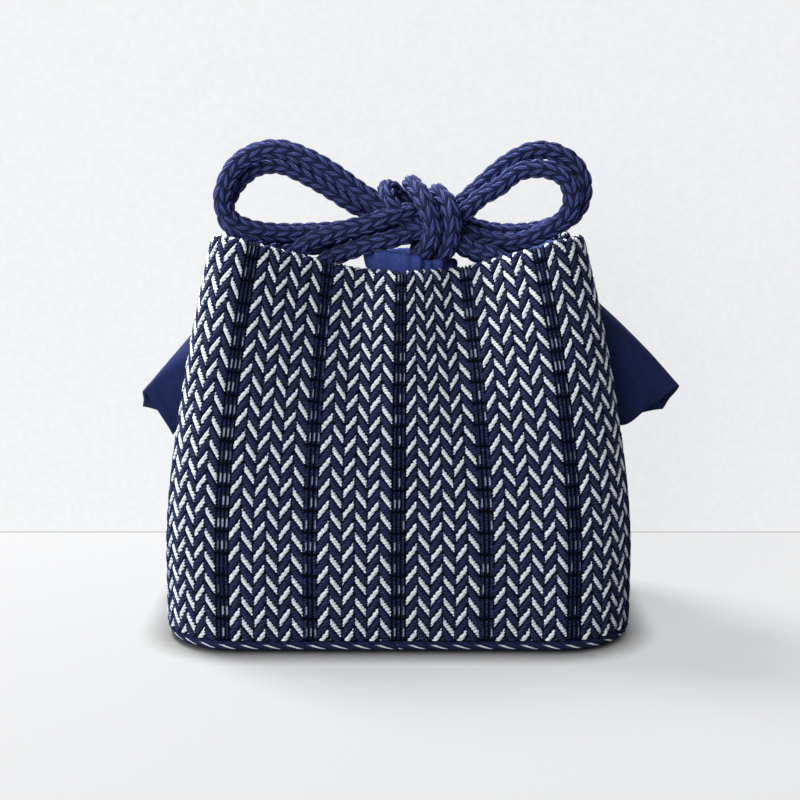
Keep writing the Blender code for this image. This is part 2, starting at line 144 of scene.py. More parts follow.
# Stretches of the two cords outside the knot, in millimetres
STRETCHES = {
    "left_ear_outer": (
        (-7.6, -6.5, 138.0), (-12.9, -6.5, 141.3), (-20.8, -7.0, 146.9), (-28.7, -7.0, 151.3),
        (-37.2, -6.5, 154.1), (-45.2, -6.0, 153.1), (-51.6, -5.5, 149.1), (-55.2, -5.0, 143.0),
        (-56.3, -4.5, 136.9), (-53.8, -4.0, 131.8), (-48.8, -3.5, 129.1), (-42.7, -3.0, 127.8),
        (-34.7, -3.0, 127.5), (-25.1, -3.0, 127.8), (-15.5, -3.0, 128.5), (-9.8, -3.4, 128.8),
    ),
    "left_ear_inner": (
        (-8.5, 1.9, 133.3), (-14.9, -0.2, 136.6), (-22.5, -1.0, 141.5), (-29.9, -1.3, 145.7),
        (-37.5, -1.2, 148.9), (-44.6, -0.2, 148.5), (-49.8, 1.1, 145.6), (-53.8, 2.3, 141.1),
        (-56.2, 2.6, 135.9), (-55.9, 3.0, 131.4), (-52.1, 3.4, 126.8), (-45.7, 3.7, 123.9),
        (-36.7, 4.2, 122.6), (-25.4, 4.2, 122.9), (-14.0, 4.4, 124.9), (-7.5, 4.8, 126.4),
    ),
    "right_ear_outer": (
        (17.6, 2.4, 134.7), (24.3, 2.3, 140.0), (30.0, 2.2, 145.3), (34.5, 2.2, 149.0),
        (38.3, 2.2, 151.4), (42.8, 2.2, 153.3), (47.0, 2.2, 153.6), (51.1, 2.2, 152.7),
        (55.5, 2.2, 150.3), (58.3, 2.2, 146.9), (59.8, 2.4, 142.7), (59.6, 3.2, 137.8),
        (57.6, 4.4, 133.5), (54.2, 5.5, 130.5), (49.1, 6.5, 128.5), (44.2, 6.8, 127.3),
        (38.7, 6.8, 126.8), (32.9, 6.8, 126.9), (27.7, 6.8, 127.8), (21.0, 6.3, 129.5),
    ),
    "right_ear_inner": (
        (19.5, -3.8, 132.9), (26.4, -3.8, 138.8), (31.8, -3.8, 141.8), (37.0, -3.8, 146.1),
        (41.0, -3.8, 147.5), (47.3, -3.8, 147.7), (53.1, -3.8, 145.1), (55.4, -3.6, 140.7),
        (55.5, -3.0, 135.5), (52.7, -2.0, 131.2), (48.0, -0.9, 127.9), (42.3, -0.2, 125.2),
        (36.5, 0.2, 123.9), (31.1, 0.2, 124.2), (25.6, 0.0, 125.5), (21.5, -0.2, 127.0),
    ),
    "left_feed_upper": (
        (-6.0, -10.3, 132.2), (-11.6, -10.2, 130.3), (-16.6, -10.0, 129.2),
        (-20.8, -10.0, 127.9), (-24.9, -10.5, 126.4), (-29.0, -11.5, 124.6),
        (-32.8, -12.5, 121.2), (-35.4, -12.9, 118.2), (-36.6, -12.6, 116.6),
    ),
    "left_feed_lower": (
        (-5.3, -7.2, 124.9), (-9.6, -7.2, 124.0), (-15.5, -7.2, 122.0), (-21.8, -7.8, 119.6),
        (-26.6, -9.0, 116.4), (-29.6, -10.2, 113.2),
    ),
    "right_feed_front": (
        (19.0, -5.7, 125.3), (23.5, -5.7, 122.6), (28.0, -6.6, 121.4), (32.4, -8.8, 119.4),
        (34.8, -11.0, 117.6), (35.6, -11.6, 116.8),
    ),
    "right_feed_back": (
        (15.6, 3.0, 125.1), (23.8, 5.8, 120.9), (28.4, 7.0, 119.0), (32.4, 9.8, 117.6),
        (34.6, 11.6, 116.0), (35.2, 12.1, 115.4),
    ),
}
# Each cord from its left feed to its right one: a stretch, whether it runs backwards, and
# the points inside the knot that follow it
CORDS = {
    "outer_cord": (
        ("left_feed_upper", True, ((2.0, -7.0, 134.2), (10.0, -1.5, 134.6))),
        ("right_ear_outer", False, ((12.0, 3.5, 130.0), (1.0, 0.0, 129.4))),
        ("left_ear_outer", True, ((-1.0, -6.0, 134.5), (6.0, -4.8, 129.8), (12.5, -5.0, 127.0))),
        ("right_feed_front", False, ()),
    ),
    "inner_cord": (
        ("left_feed_lower", True, ((1.5, -5.5, 126.6), (10.0, -4.4, 129.6))),
        ("right_ear_inner", False, ((13.0, 0.8, 127.0), (3.0, 3.6, 126.2))),
        ("left_ear_inner", True, ((-1.0, 2.8, 131.0), (7.0, 2.9, 128.2))),
        ("right_feed_back", False, ()),
    ),
}
# Closed turns of the knot and its bend, in millimetres
KNOT_TURNS = {
    "front_turn": (
        (4.4, -4.5, 142.9), (7.0, -9.6, 140.0), (9.8, -12.4, 134.2), (10.8, -12.6, 129.0),
        (9.4, -10.6, 124.0), (7.0, -6.0, 120.8), (6.4, 0.0, 120.4), (7.2, 5.4, 123.6),
        (7.6, 7.6, 130.0), (6.4, 5.6, 137.2), (4.4, 1.0, 141.9),
    ),
    "back_turn": (
        (12.6, -4.5, 140.2), (15.4, -8.6, 137.4), (16.8, -10.6, 133.2), (16.8, -10.4, 128.4),
        (15.6, -8.6, 123.2), (13.8, -4.0, 119.8), (13.2, 2.0, 119.4), (13.6, 6.8, 122.8),
        (14.0, 8.2, 129.0), (13.8, 6.8, 135.4), (12.8, 1.6, 139.4),
    ),
}
KNOT_BEND = (
    (4.0, 1.5, 134.5), (0.2, 1.6, 139.0), (-2.8, -0.8, 141.4), (-4.0, -4.4, 140.6),
    (-3.0, -7.4, 137.2), (0.5, -8.0, 133.6),
)


def length(name, description, default):
    return FloatProperty(
        name=name, description=description, default=default, min=0.0, unit="LENGTH", precision=4
    )


def share(name, description, default):
    return FloatProperty(
        name=name, description=description, default=default, min=0.0, max=1.0, subtype="FACTOR"
    )


def colour(name, description, default):
    return FloatVectorProperty(
        name=name, description=description, default=default, min=0.0, max=1.0, subtype="COLOR"
    )


class PouchBody(PropertyGroup):
    """Sizes of the woven body."""

    width: length("Width", "Width of the base", 0.150)
    depth: length("Depth", "Depth of the base", 0.090)
    height: length("Height", "Height of the two high corners of the mouth", 0.128)
    corner_radius: length("Corner radius", "Rounding of the body's corners in plan", 0.025)
    bottom_radius: length("Bottom radius", "Rounding at the foot of the body", 0.004)
    wall: length("Wall", "Thickness of the woven cloth", 0.003)
    base_thickness: length("Base", "Thickness of the base panel", 0.004)
    fold_start: length("Fold start", "Height at which the wall starts to draw in", 0.025)
    fold_power: FloatProperty(name="Fold power", description="How late it draws in", default=1.8)


class PouchWeave(PropertyGroup):
    """Pattern and colours of the herringbone cloth."""

    stripe_share: share("Stripe", "Share of a section that is the stitched stripe", 0.15)
    columns: IntProperty(name="Columns", description="Columns of floats in a section", default=6)
    pitch: length("Pitch", "Height from one white float to the next at the foot", 0.0070)
    rise: length("Rise", "Height that a float climbs across its column", 0.0051)
    base_slant: FloatProperty(
        name="Base slant", description="Lean of the yarns round the base's edge", default=2.2
    )
    pitches: FloatProperty(name="Pitches", description="White floats in one column", default=17.5)
    white_share: share("White share", "Share of the pitch that the white float takes", 0.41)
    relief: length("Relief", "Depth of the grooves between the yarns", 0.0011)
    white: colour("White yarn", "Colour of the light yarn", (0.76, 0.81, 0.86))
    navy: colour("Navy yarn", "Colour of the dark yarn", (0.014, 0.019, 0.062))


class PouchCotton(PropertyGroup):
    """Collar, wings and lining."""

    ease: length("Ease", "Play between the wall and the cloth inside it", 0.0020)
    thickness: length("Thickness", "Thickness of the cotton", 0.0010)
    thread: length("Thread", "From one thread of the cotton to the next", 0.0005)
    lining_drop: length("Lining drop", "How far below the mouth the lining ends", 0.0130)
    collar_turn: length("Collar turn", "Where the collar leaves the wall, below the mouth", 0.0040)
    dip: length("Dip", "Height of the collar between the mouth and the neck", 0.1090)
    collar_cut: length("Collar cut", "Height of the collar's cloth when it is laid flat", 0.0240)
    wing_width: length("Wing width", "Width of a wing's cloth when it is laid flat", 0.0520)
    wing_length: length("Wing length", "Length of a wing's cloth when it is laid flat", 0.0420)
    belly: length("Belly", "How far the wings' panels stand out between ridge and edge", 0.0075)
    hem: length("Hem", "Width of the hem at the wings' edges", 0.0035)
    # The wings and the lining take a navy about three times darker than the collar's, as painted shade; the
    # collar's brighter, bluer navy is painted sheen and light through its thin cloth.
    shaded_wing_navy: colour("Wing navy", "Colour of the wings and the lining", (0.014, 0.022, 0.084))
    lit_collar_navy: colour("Collar navy", "Colour of the collar", (0.040, 0.068, 0.250))


class PouchCord(PropertyGroup):
    """The two drawcords."""

    diameter: length("Diameter", "Diameter over the plait", 0.0064)
    plait_pitch: length("Plait pitch", "Length of one stitch of the plait", 0.0044)
    plait_depth: length("Plait depth", "Depth of the grooves of the plait", 0.0009)
    plait_yarns: IntProperty(name="Yarns", description="Yarns laid side by side in a stitch", default=3)
    plait_columns: IntProperty(name="Columns", description="Columns around the cord", default=8)
    plait_slope: FloatProperty(name="Slope", description="Stitches climbed in one column", default=0.9)
    navy: colour("Navy cord", "Colour of the cord", (0.074, 0.102, 0.330))


class PouchStage(PropertyGroup):
    """Floor, backdrop, lights and camera."""

    distance: length("Distance", "From the camera to the pouch", 0.500)
    elevation: FloatProperty(
        name="Elevation", description="Camera above the horizon", default=math.radians(10.5), subtype="ANGLE"
    )
    aim_height: length("Aim height", "Height the camera looks at", 0.072)
    frame_width: length("Frame width", "Width that the picture shows at the pouch", 0.2650)
    wall_behind: length("Wall behind", "From the pouch's centre to the backdrop", 0.097)
    wall_height: length("Wall height", "Height of the backdrop", 0.320)
    board: length("Board", "Length of the floor and the backdrop", 3.0)
    sky: share("Sky", "Strength of the light from all round", 0.14)
    floor: colour("Floor", "Colour of the floor", (0.29, 0.29, 0.29))
    backdrop: colour("Backdrop", "Colour of the backdrop", (0.86, 0.86, 0.86))
    floor_glow: share("Floor glow", "Share of the floor's look that the lights don't change", 0.62)
    backdrop_glow: share("Backdrop glow", "The same share of the backdrop", 0.85)


GROUPS = {
    "pouch_body": PouchBody,
    "pouch_weave": PouchWeave,
    "pouch_cotton": PouchCotton,
    "pouch_cord": PouchCord,
    "pouch_stage": PouchStage,
}


def closed_curve(knots, at):
    """Values at these sections of a smooth closed curve through the knots."""
    knots = np.array(knots, float)
    before, after = knots[-2:].copy(), knots[:2].copy()
    before[:, 0] -= SECTIONS
    after[:, 0] += SECTIONS
    knots = np.vstack([before, knots, after])
    at = np.mod(np.asarray(at, float), SECTIONS)
    i = np.searchsorted(knots[:, 0], at, side="right") - 1
    s0, s1, s2, s3 = (knots[i + step, 0] for step in (-1, 0, 1, 2))
    a, b, c, d = (knots[i + step, 1:] for step in (-1, 0, 1, 2))
    span = (s2 - s1)[..., None]
    t = (at - s1)[..., None] / span
    start = (c - a) / (s2 - s0)[..., None] * span
    end = (d - b) / (s3 - s1)[..., None] * span
    return (
        (2 * t**3 - 3 * t**2 + 1) * b
        + (t**3 - 2 * t**2 + t) * start
        + (3 * t**2 - 2 * t**3) * c
        + (t**3 - t**2) * end
    )


def open_curve(points, steps):
    """Evenly numbered points of a smooth curve through these points."""
    points = np.array(points, float)
    ends = np.vstack([2 * points[0] - points[1], points, 2 * points[-1] - points[-2]])
    t = np.linspace(0, len(points) - 1, steps + 1)
    i = np.minimum(t.astype(int), len(points) - 2)
    a, b, c, d = (ends[i + step] for step in range(4))
    t = (t - i)[:, None]
    return (
        b
        + 0.5 * t * (c - a)
        + t**2 * (a - 2.5 * b + 2 * c - 0.5 * d)
        + 0.5 * t**3 * (3 * b - 3 * c + d - a)
    )


def evenly(points, spacing, closed=False):
    """Points a set distance apart along a smooth curve through these points, and its length."""
    per_knot = 24
    if closed:
        points = [*points[-2:], *points, *points[:3]]
    fine = open_curve(points, per_knot * (len(points) - 1))
    if closed:
        fine = fine[2 * per_knot : -2 * per_knot]
    travelled = np.concatenate([[0], np.cumsum(np.linalg.norm(np.diff(fine, axis=0), axis=1))])
    count = max(3, round(travelled[-1] / spacing))
    at = np.linspace(0, travelled[-1], count + 1)
    found = np.stack([np.interp(at, travelled, fine[:, axis]) for axis in range(3)], axis=1)
    return (found[:-1] if closed else found), travelled[-1]


class Shell:
    """The drawn-in body: where its wall is at any section and height."""

    def __init__(self, body):
        self.body = body
        self.straight_x = body.width - 2 * body.corner_radius
        self.straight_y = body.depth - 2 * body.corner_radius
        self.arc = body.corner_radius * math.pi / 2
        self.perimeter = 2 * (self.straight_x + self.straight_y) + 4 * self.arc
        self.section = self.perimeter / SECTIONS
        self.foot = body.base_thickness + BASE_SEAM

    def outline(self, section, inset):
        """The rounded rectangle of the body, moved inward by inset."""
        travelled = np.mod(section, SECTIONS) * self.section
        half = self.perimeter / 2
        side = np.where(travelled >= half, -1.0, 1.0)
        along = np.where(travelled >= half, travelled - half, travelled)
        half_x, half_y = self.straight_x / 2, self.straight_y / 2
        corner = self.body.corner_radius
        radius = corner - inset
        first = (along - half_x) / corner
        second = (along - half_x - self.arc - self.straight_y) / corner
        ends = np.cumsum([half_x, self.arc, self.straight_y, self.arc])
        where = [along < end for end in ends]
        x = np.select(
            where,
            [along, half_x + radius * np.sin(first), half_x + radius, half_x + radius * np.cos(second)],
            half - along,
        )
        y = np.select(
            where,
            [
                -half_y - radius,
                -half_y - radius * np.cos(first),
                along - half_x - self.arc - half_y,
                half_y + radius * np.sin(second),
            ],
            half_y + radius,
        )
        return np.stack([side * x, side * y], axis=-1)

    def edge_inset(self, z):
        """How far the rounded bottom edge pulls the outline in."""
        radius = self.body.bottom_radius
        short = np.clip(radius - z, 0, radius)
        return radius - np.sqrt(radius**2 - short**2)

    def mouth_height(self, section):
        return self.body.height - closed_curve(MOUTH, section)[..., 2] * MM

    def plan(self, section, z):
        """Where the outer face of the wall is at this height."""
        mouth = closed_curve(MOUTH, section)
        top = self.body.height - mouth[..., 2] * MM
        start = self.body.fold_start
        pull = np.maximum(0.0, (z - start) / (top - start)) ** self.body.fold_power
        standing = self.outline(section, self.edge_inset(z))
        return standing + pull[..., None] * (mouth[..., :2] * MM - standing)

    def point(self, section, z, inward=0.0):
        """Points of the wall, inward from its outer face."""
        section, z, inward = np.broadcast_arrays(
            *(np.asarray(value, float) for value in (section, z, inward))
        )
        step = 0.02
        along = self.plan(section + step, z) - self.plan(section - step, z)
        along /= np.linalg.norm(along, axis=-1, keepdims=True)
        inside = np.stack([-along[..., 1], along[..., 0]], axis=-1)
        place = self.plan(section, z) + inward[..., None] * inside
        return np.concatenate([place, z[..., None]], axis=-1)


def settle(piece, name, nodes, material):
    """Names a finished piece and ties it to the frame."""
    piece.name = piece.data.name = name
    piece.data.materials.append(material)
    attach(piece, "root")
    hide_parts(*nodes)
    return piece


def deselect():
    if bpy.context.object and bpy.context.object.mode != "OBJECT":
        bpy.ops.object.mode_set(mode="OBJECT")
    bpy.ops.object.select_all(action="DESELECT")


def activate(piece):
    deselect()
    piece.select_set(True)
    bpy.context.view_layer.objects.active = piece


def new_piece(points, faces):
    """A new object from its points and faces, shaded smooth."""
    mesh = bpy.data.meshes.new("piece")
    mesh.from_pydata(points.tolist(), [], faces)
    mesh.shade_smooth()
    piece = bpy.data.objects.new("piece", mesh)
    bpy.context.collection.objects.link(piece)
    return piece


def grid_piece(rows, closed_rows=False, closed_lines=False, caps=()):
    """A new object from an array of rows of points. Rows run along the first axis."""
    count, across = rows.shape[:2]
    index = np.arange(count * across).reshape(count, across)
    if closed_rows:
        index = np.vstack([index, index[:1]])
    if closed_lines:
        index = np.hstack([index, index[:, :1]])
    corners = (index[:-1, :-1], index[:-1, 1:], index[1:, 1:], index[1:, :-1])
    faces = np.stack(corners, axis=-1).reshape(-1, 4).tolist()
    if "first" in caps:
        faces.append(list(range(across))[::-1])
    if "last" in caps:
        faces.append(list(range((count - 1) * across, count * across)))
    return new_piece(rows.reshape(-1, 3), faces)


def unit(vectors):
    return vectors / np.linalg.norm(vectors, axis=-1, keepdims=True)


def thicken(piece, thickness):
    """Gives a sheet its thickness, behind its face."""
    activate(piece)
    solid = piece.modifiers.new("Cloth", "SOLIDIFY")
    solid.thickness = thickness
    solid.offset = -1
    bpy.ops.object.modifier_apply(modifier=solid.name)
    piece.data.shade_smooth()


def set_attribute(mesh, name, values):
    """Stores one number for each vertex."""
    attribute = mesh.attributes.new(name, "FLOAT", "POINT")
    attribute.data.foreach_set("value", np.asarray(values, np.float32).ravel())


def set_uv(mesh, name, values):
    """Stores a UV map from one pair of numbers for each face corner."""
    layer = mesh.uv_layers.new(name=name)
    layer.data.foreach_set("uv", np.asarray(values, np.float32).ravel())


def corner_vertices(mesh):
    found = np.zeros(len(mesh.loops), np.int32)
    mesh.loops.foreach_get("vertex_index", found)
    return found


def grid_uv(piece, u, v, name="Cloth", periods=(None, None)):
    """A UV map for a grid piece from u and v for its rows and lines, counted on over its seams."""
    mesh = piece.data
    count = len(mesh.vertices)
    starts = np.zeros(len(mesh.polygons), np.int32)
    totals = np.zeros(len(mesh.polygons), np.int32)
    mesh.polygons.foreach_get("loop_start", starts)
    mesh.polygons.foreach_get("loop_total", totals)
    at = starts[totals == 4][:, None] + np.arange(4)
    vertices = corner_vertices(mesh)
    found = []
    for given, period in zip((u, v), periods):
        values = np.resize(np.asarray(given, float).ravel(), count)[vertices]
        if period:
            corner = values[at]
            low = corner < corner.max(axis=1, keepdims=True) - period / 2
            values[at] = corner + period * low
        found.append(values)
    set_uv(mesh, name, np.stack(found, axis=1))


class Tree:
    """Adds nodes to a material or a node group, and joins them."""

    def __init__(self, tree):
        self.tree = tree

    def node(self, kind, inputs=(), **settings):
        made = self.tree.nodes.new(kind)
        for name, value in settings.items():
            setattr(made, name, value)
        for name, value in dict(inputs).items():
            self.put(made.inputs[name], value)
        return made

    def put(self, socket, value):
        if isinstance(value, bpy.types.NodeSocket):
            self.tree.links.new(value, socket)
        else:
            socket.default_value = value

    def math(self, operation, *values):
        made = self.node("ShaderNodeMath", operation=operation)
        for socket, value in zip(made.inputs, values):
            self.put(socket, value)
        return made.outputs[0]

    def times(self, *values):
        return functools.reduce(functools.partial(self.math, "MULTIPLY"), values)

    def plus(self, *values):
        return functools.reduce(functools.partial(self.math, "ADD"), values)

    def step(self, value, low, high, out=(0.0, 1.0)):
        """A smooth step of a value from low to high."""
        made = self.node(
            "ShaderNodeMapRange",
            {"Value": value, "From Min": low, "From Max": high, "To Min": out[0], "To Max": out[1]},
            interpolation_type="SMOOTHSTEP",
        )
        return made.outputs["Result"]

    def mix(self, factor, first, second, blend="MIX"):
        made = self.node("ShaderNodeMix", data_type="RGBA", blend_type=blend, clamp_factor=True)
        colours = [socket for socket in made.inputs if socket.type == "RGBA"]
        self.put(made.inputs["Factor"], factor)
        self.put(colours[0], first)
        self.put(colours[1], second)
        return next(socket for socket in made.outputs if socket.type == "RGBA")

    def noise(self, vector, scale, detail=2.0, roughness=0.5, distortion=0.0):
        made = self.node(
            "ShaderNodeTexNoise",
            {"Vector": vector, "Scale": scale, "Detail": detail, "Roughness": roughness,
             "Distortion": distortion},
        )
        return made.outputs[0]

    def scaled(self, vector, scale):
        return self.node("ShaderNodeMapping", {"Vector": vector, "Scale": scale}).outputs["Vector"]

    def uv(self, name):
        return self.node("ShaderNodeUVMap", uv_map=name).outputs["UV"]

    def split(self, vector):
        return self.node("ShaderNodeSeparateXYZ", {"Vector": vector}).outputs

    def object_place(self):
        return self.node("ShaderNodeTexCoord").outputs["Object"]

    def attribute(self, name):
        return self.node("ShaderNodeAttribute", attribute_name=name).outputs["Fac"]

    def group(self, tree, **inputs):
        made = self.node("ShaderNodeGroup", node_tree=tree)
        for name, value in inputs.items():
            self.put(made.inputs[name.replace("_", " ")], value)
        return made.outputs


def new_group(name, inputs, outputs):
    """An empty shader node group with named sockets. Returns its Tree and its two ends."""
    group = bpy.data.node_groups.new(name, "ShaderNodeTree")
    for socket, kind in inputs.items():
        group.interface.new_socket(socket, in_out="INPUT", socket_type=kind)
    for socket, kind in outputs.items():
        group.interface.new_socket(socket, in_out="OUTPUT", socket_type=kind)
    tree = Tree(group)
    return tree, tree.node("NodeGroupInput").outputs, tree.node("NodeGroupOutput").inputs


FLOAT, VECTOR, COLOUR = "NodeSocketFloat", "NodeSocketVector", "NodeSocketColor"
PLY_HEIGHT = 1.05  # millimetres up the cloth from one ply of a yarn to the next

# Colours of the weave: painted shade for its grooves and gaps, for the dips between the plies of navy and of
# white yarn and for the white in its grooves, and the colours of its streaks and its dashes
GAP_SHADE = (0.001, 0.0015, 0.005, 1.0)
NAVY_PLY_SHADE = (0.004, 0.006, 0.020, 1.0)
NAVY_STREAK = (0.045, 0.060, 0.155, 1.0)
DASH = (0.30, 0.36, 0.46, 1.0)
WHITE_PLY_SHADE = (0.40, 0.44, 0.47, 1.0)
WHITE_SHADE = (0.16, 0.18, 0.23, 1.0)


def floats_group():
    """Where the white floats, the stripes, their dashes and the stripes' painted shade lie, from the yarn
    map.
    """
    tree, given, result = new_group(
        "Herringbone floats",
        {"Yarn": VECTOR, "Cloth": VECTOR, "Columns": FLOAT, "White share": FLOAT},
        {"White": FLOAT, "Dash": FLOAT, "Stripe_shade": FLOAT, "Twist": FLOAT, "Streak": FLOAT},
    )
    m, times, plus = tree.math, tree.times, tree.plus
    u, v, _ = tree.split(given["Yarn"])
    x, y, _ = tree.split(given["Cloth"])
    local = m("FLOORED_MODULO", u, plus(given["Columns"], 1.0))
    column, across = m("FLOOR", local), m("FRACT", local)
    stripe = m("LESS_THAN", column, 0.5)
    floats = m("SUBTRACT", 1.0, stripe)
    odd = m("FLOORED_MODULO", column, 2.0)
    phase = m("FRACT", plus(v, times(odd, 0.5)))

    # The plies of a yarn show as fine ribs that rise to the right and wander a little.
    wander = tree.noise(tree.scaled(given["Cloth"], (0.30, 0.30, 1.0)), 2.0)
    level = plus(times(y, 1 / PLY_HEIGHT), times(x, -0.30))
    twist = m("SINE", times(plus(level, times(wander, 1.6)), 2 * math.pi))

    # A white float is as wide all along, and ends short of its column's edges.
    half = times(given["White share"], 0.5)
    from_middle = m("DIVIDE", m("ABSOLUTE", m("SUBTRACT", phase, half)), half)
    end = m("MINIMUM", across, m("SUBTRACT", 1.0, across))
    end = plus(end, times(plus(twist, times(wander, 2.0)), 0.03))
    width = plus(0.84, times(twist, 0.17))
    white = tree.step(m("SUBTRACT", width, from_middle), -0.05, 0.08)
    white = times(white, tree.step(end, 0.10, 0.15), floats)

    # Streaks of dyed fibre run along each float.
    stretched = {"X": times(u, 1.1), "Y": times(phase, 15.0)}
    streak = tree.noise(tree.node("ShaderNodeCombineXYZ", stretched).outputs[0], 1.0)

    # The stripe has three threads, parted by lines of painted shade and cut by a bar of painted shade at each
    # pitch.
    thread = times(across, 3.0)
    beside = m("ABSOLUTE", m("SUBTRACT", m("FRACT", thread), 0.5))
    pitch = m("FRACT", v)
    bar = m("MINIMUM", pitch, m("SUBTRACT", 1.0, pitch))
    painted_shade = m("MAXIMUM", tree.step(beside, 0.36, 0.48), tree.step(bar, 0.09, 0.03))
    painted_shade = times(painted_shade, stripe)
    section = m("FLOOR", m("DIVIDE", u, plus(given["Columns"], 1.0)))
    cell = tree.node("ShaderNodeCombineXYZ", {"X": m("FLOOR", thread), "Y": m("FLOOR", v), "Z": section})
    chance = tree.node("ShaderNodeTexWhiteNoise", {"Vector": cell.outputs[0]}, noise_dimensions="3D")
    lit = tree.step(chance.outputs["Value"], 0.30, 0.85)
    beside_right = m("ABSOLUTE", m("SUBTRACT", m("FRACT", thread), 0.66))
    dash_height = times(tree.step(pitch, 0.16, 0.24), tree.step(pitch, 0.62, 0.52))
    dash = times(tree.step(beside_right, 0.20, 0.10), dash_height, lit, stripe)
    for name, value in (
        ("White", white), ("Dash", dash), ("Stripe_shade", painted_shade), ("Twist", twist), ("Streak", streak)
    ):
        tree.put(result[name], value)
    return tree.tree


def fibre_group():
    """Colour variation, painted shade in the grooves and fine bump that all the cotton yarns and cloths
    share.
    """
    if "Cotton fibre" in bpy.data.node_groups:
        return bpy.data.node_groups["Cotton fibre"]
    tree, given, result = new_group(
        "Cotton fibre",
        {"Place": VECTOR, "Colour": COLOUR, "Fibre scale": FLOAT, "Variation": FLOAT,
         "Groove": FLOAT, "Fade": FLOAT},
        {"Colour": COLOUR, "Fibres": FLOAT},
    )
    fibres = tree.noise(given["Place"], given["Fibre scale"], detail=3.0, roughness=0.6)
    broad = tree.noise(given["Place"], tree.times(given["Fibre scale"], 0.13), detail=2.0)
    light = tree.step(fibres, 0.35, 0.70)
    lit = tree.mix(
        tree.times(light, given["Variation"]),
        given["Colour"],
        tree.mix(1.0, given["Colour"], (2.1, 1.9, 1.7, 1.0), blend="MULTIPLY"),
    )
    lit = tree.mix(
        tree.times(tree.step(broad, 0.40, 0.65), given["Fade"]),
        lit,
        tree.mix(1.0, lit, (0.60, 0.60, 0.64, 1.0), blend="MULTIPLY"),
    )
    # Painted shade: the colour turns much darker where the yarns or threads dip into a groove.
    painted_shade = tree.mix(1.0, lit, (0.16, 0.16, 0.20, 1.0), blend="MULTIPLY")
    tree.put(result["Colour"], tree.mix(given["Groove"], lit, painted_shade))
    tree.put(result["Fibres"], fibres)
    return tree.tree


def new_material(name, roughness, sheen):
    """A material with a bare Principled shader. Returns it, its Tree and the shader."""
    material = bpy.data.materials.new(name)
    material.use_nodes = True
    shader = material.node_tree.nodes["Principled BSDF"]
    shader.inputs["Roughness"].default_value = roughness
    shader.inputs["Specular IOR Level"].default_value = 0.06
    shader.inputs["Sheen Weight"].default_value = sheen
    shader.inputs["Sheen Roughness"].default_value = 0.5
    return material, Tree(material.node_tree), shader


def bump(tree, shader, height, distance):
    made = tree.node("ShaderNodeBump", {"Height": height, "Distance": distance, "Strength": 1.0})
    tree.put(shader.inputs["Normal"], made.outputs["Normal"])


def herringbone_material(weave):
    """Thick white and navy yarns in slanting floats, with stitched stripes between."""
    material, tree, shader = new_material("Herringbone weave", 0.9, 0.0)
    cloth = tree.uv("Cloth")
    pattern = tree.group(
        floats_group(), Yarn=tree.uv("Yarn"), Cloth=cloth, Columns=float(weave.columns),
        White_share=weave.white_share,
    )
    relief = tree.attribute("Relief")
    # The navy takes painted shade where the relief is low, in the grooves between the yarns.
    navy = tree.group(
        fibre_group(), Place=tree.scaled(cloth, (1.6, 1.6, 1.0)), Colour=(*weave.navy, 1.0),
        Fibre_scale=1.1, Variation=0.90, Groove=tree.step(relief, 0.50, 0.05), Fade=0.25,
    )
    streaked_and_shaded = tree.mix(tree.step(pattern["Streak"], 0.48, 0.72), navy["Colour"], NAVY_STREAK)
    # Painted shade in the dips between a navy yarn's plies.
    streaked_and_shaded = tree.mix(tree.step(pattern["Twist"], 0.0, -1.0, out=(0.0, 0.70)), streaked_and_shaded, NAVY_PLY_SHADE)
    # Painted shade: near-black in the grooves between the yarns, and in the gaps between the stripe's threads
    # and stitches.
    streaked_and_shaded = tree.mix(tree.step(relief, 0.72, 0.22), streaked_and_shaded, GAP_SHADE)
    ground = tree.mix(pattern["Stripe_shade"], streaked_and_shaded, GAP_SHADE)
    ground = tree.mix(pattern["Dash"], ground, DASH)
    # Painted shade in the dips between a white yarn's plies.
    ply_shade_mask = tree.step(pattern["Twist"], -0.3, -1.0, out=(0.0, 0.50))
    white_with_ply_shade = tree.mix(ply_shade_mask, (*weave.white, 1.0), WHITE_PLY_SHADE)
    white = tree.mix(tree.step(relief, 0.42, 0.10), white_with_ply_shade, WHITE_SHADE)
    tree.put(shader.inputs["Base Color"], tree.mix(pattern["White"], ground, white))
    times, plus = tree.times, tree.plus
    height = plus(
        times(pattern["Twist"], 0.5), times(navy["Fibres"], 0.7), times(pattern["Streak"], 0.9)
    )
    bump(tree, shader, height, 0.00028)
    return material


def base_material(weave):
    """The same yarns laid in one slanting row round the edge of the base, and plain below."""
    material, tree, shader = new_material("Base weave", 0.9, 0.0)
    cloth = tree.uv("Cloth")
    m, times, plus = tree.math, tree.times, tree.plus
    x, y, _ = tree.split(cloth)
    pitch = weave.pitch / MM
    slant = m("FRACT", times(m("SUBTRACT", x, times(y, weave.base_slant)), 1 / pitch))
    slant = plus(slant, times(tree.noise(cloth, 2.2, detail=1.0), 0.05))
    across_yarn = times(tree.step(slant, 0.04, 0.09), tree.step(slant, 0.34, 0.29))
    white = times(across_yarn, times(tree.step(y, 1.0, 1.3), tree.step(y, 3.1, 2.7)))
    relief = tree.attribute("Relief")
    # The navy takes painted shade where the relief is low, in the grooves between the yarns.
    navy = tree.group(
        fibre_group(), Place=tree.scaled(cloth, (1.6, 1.6, 1.0)), Colour=(*weave.navy, 1.0),
        Fibre_scale=1.6, Variation=0.45, Groove=tree.step(relief, 0.60, 0.10), Fade=0.25,
    )
    pale = tree.mix(tree.step(relief, 0.42, 0.10), (*weave.white, 1.0), WHITE_SHADE)
    tree.put(shader.inputs["Base Color"], tree.mix(white, navy["Colour"], pale))
    bump(tree, shader, navy["Fibres"], 0.0002)
    return material


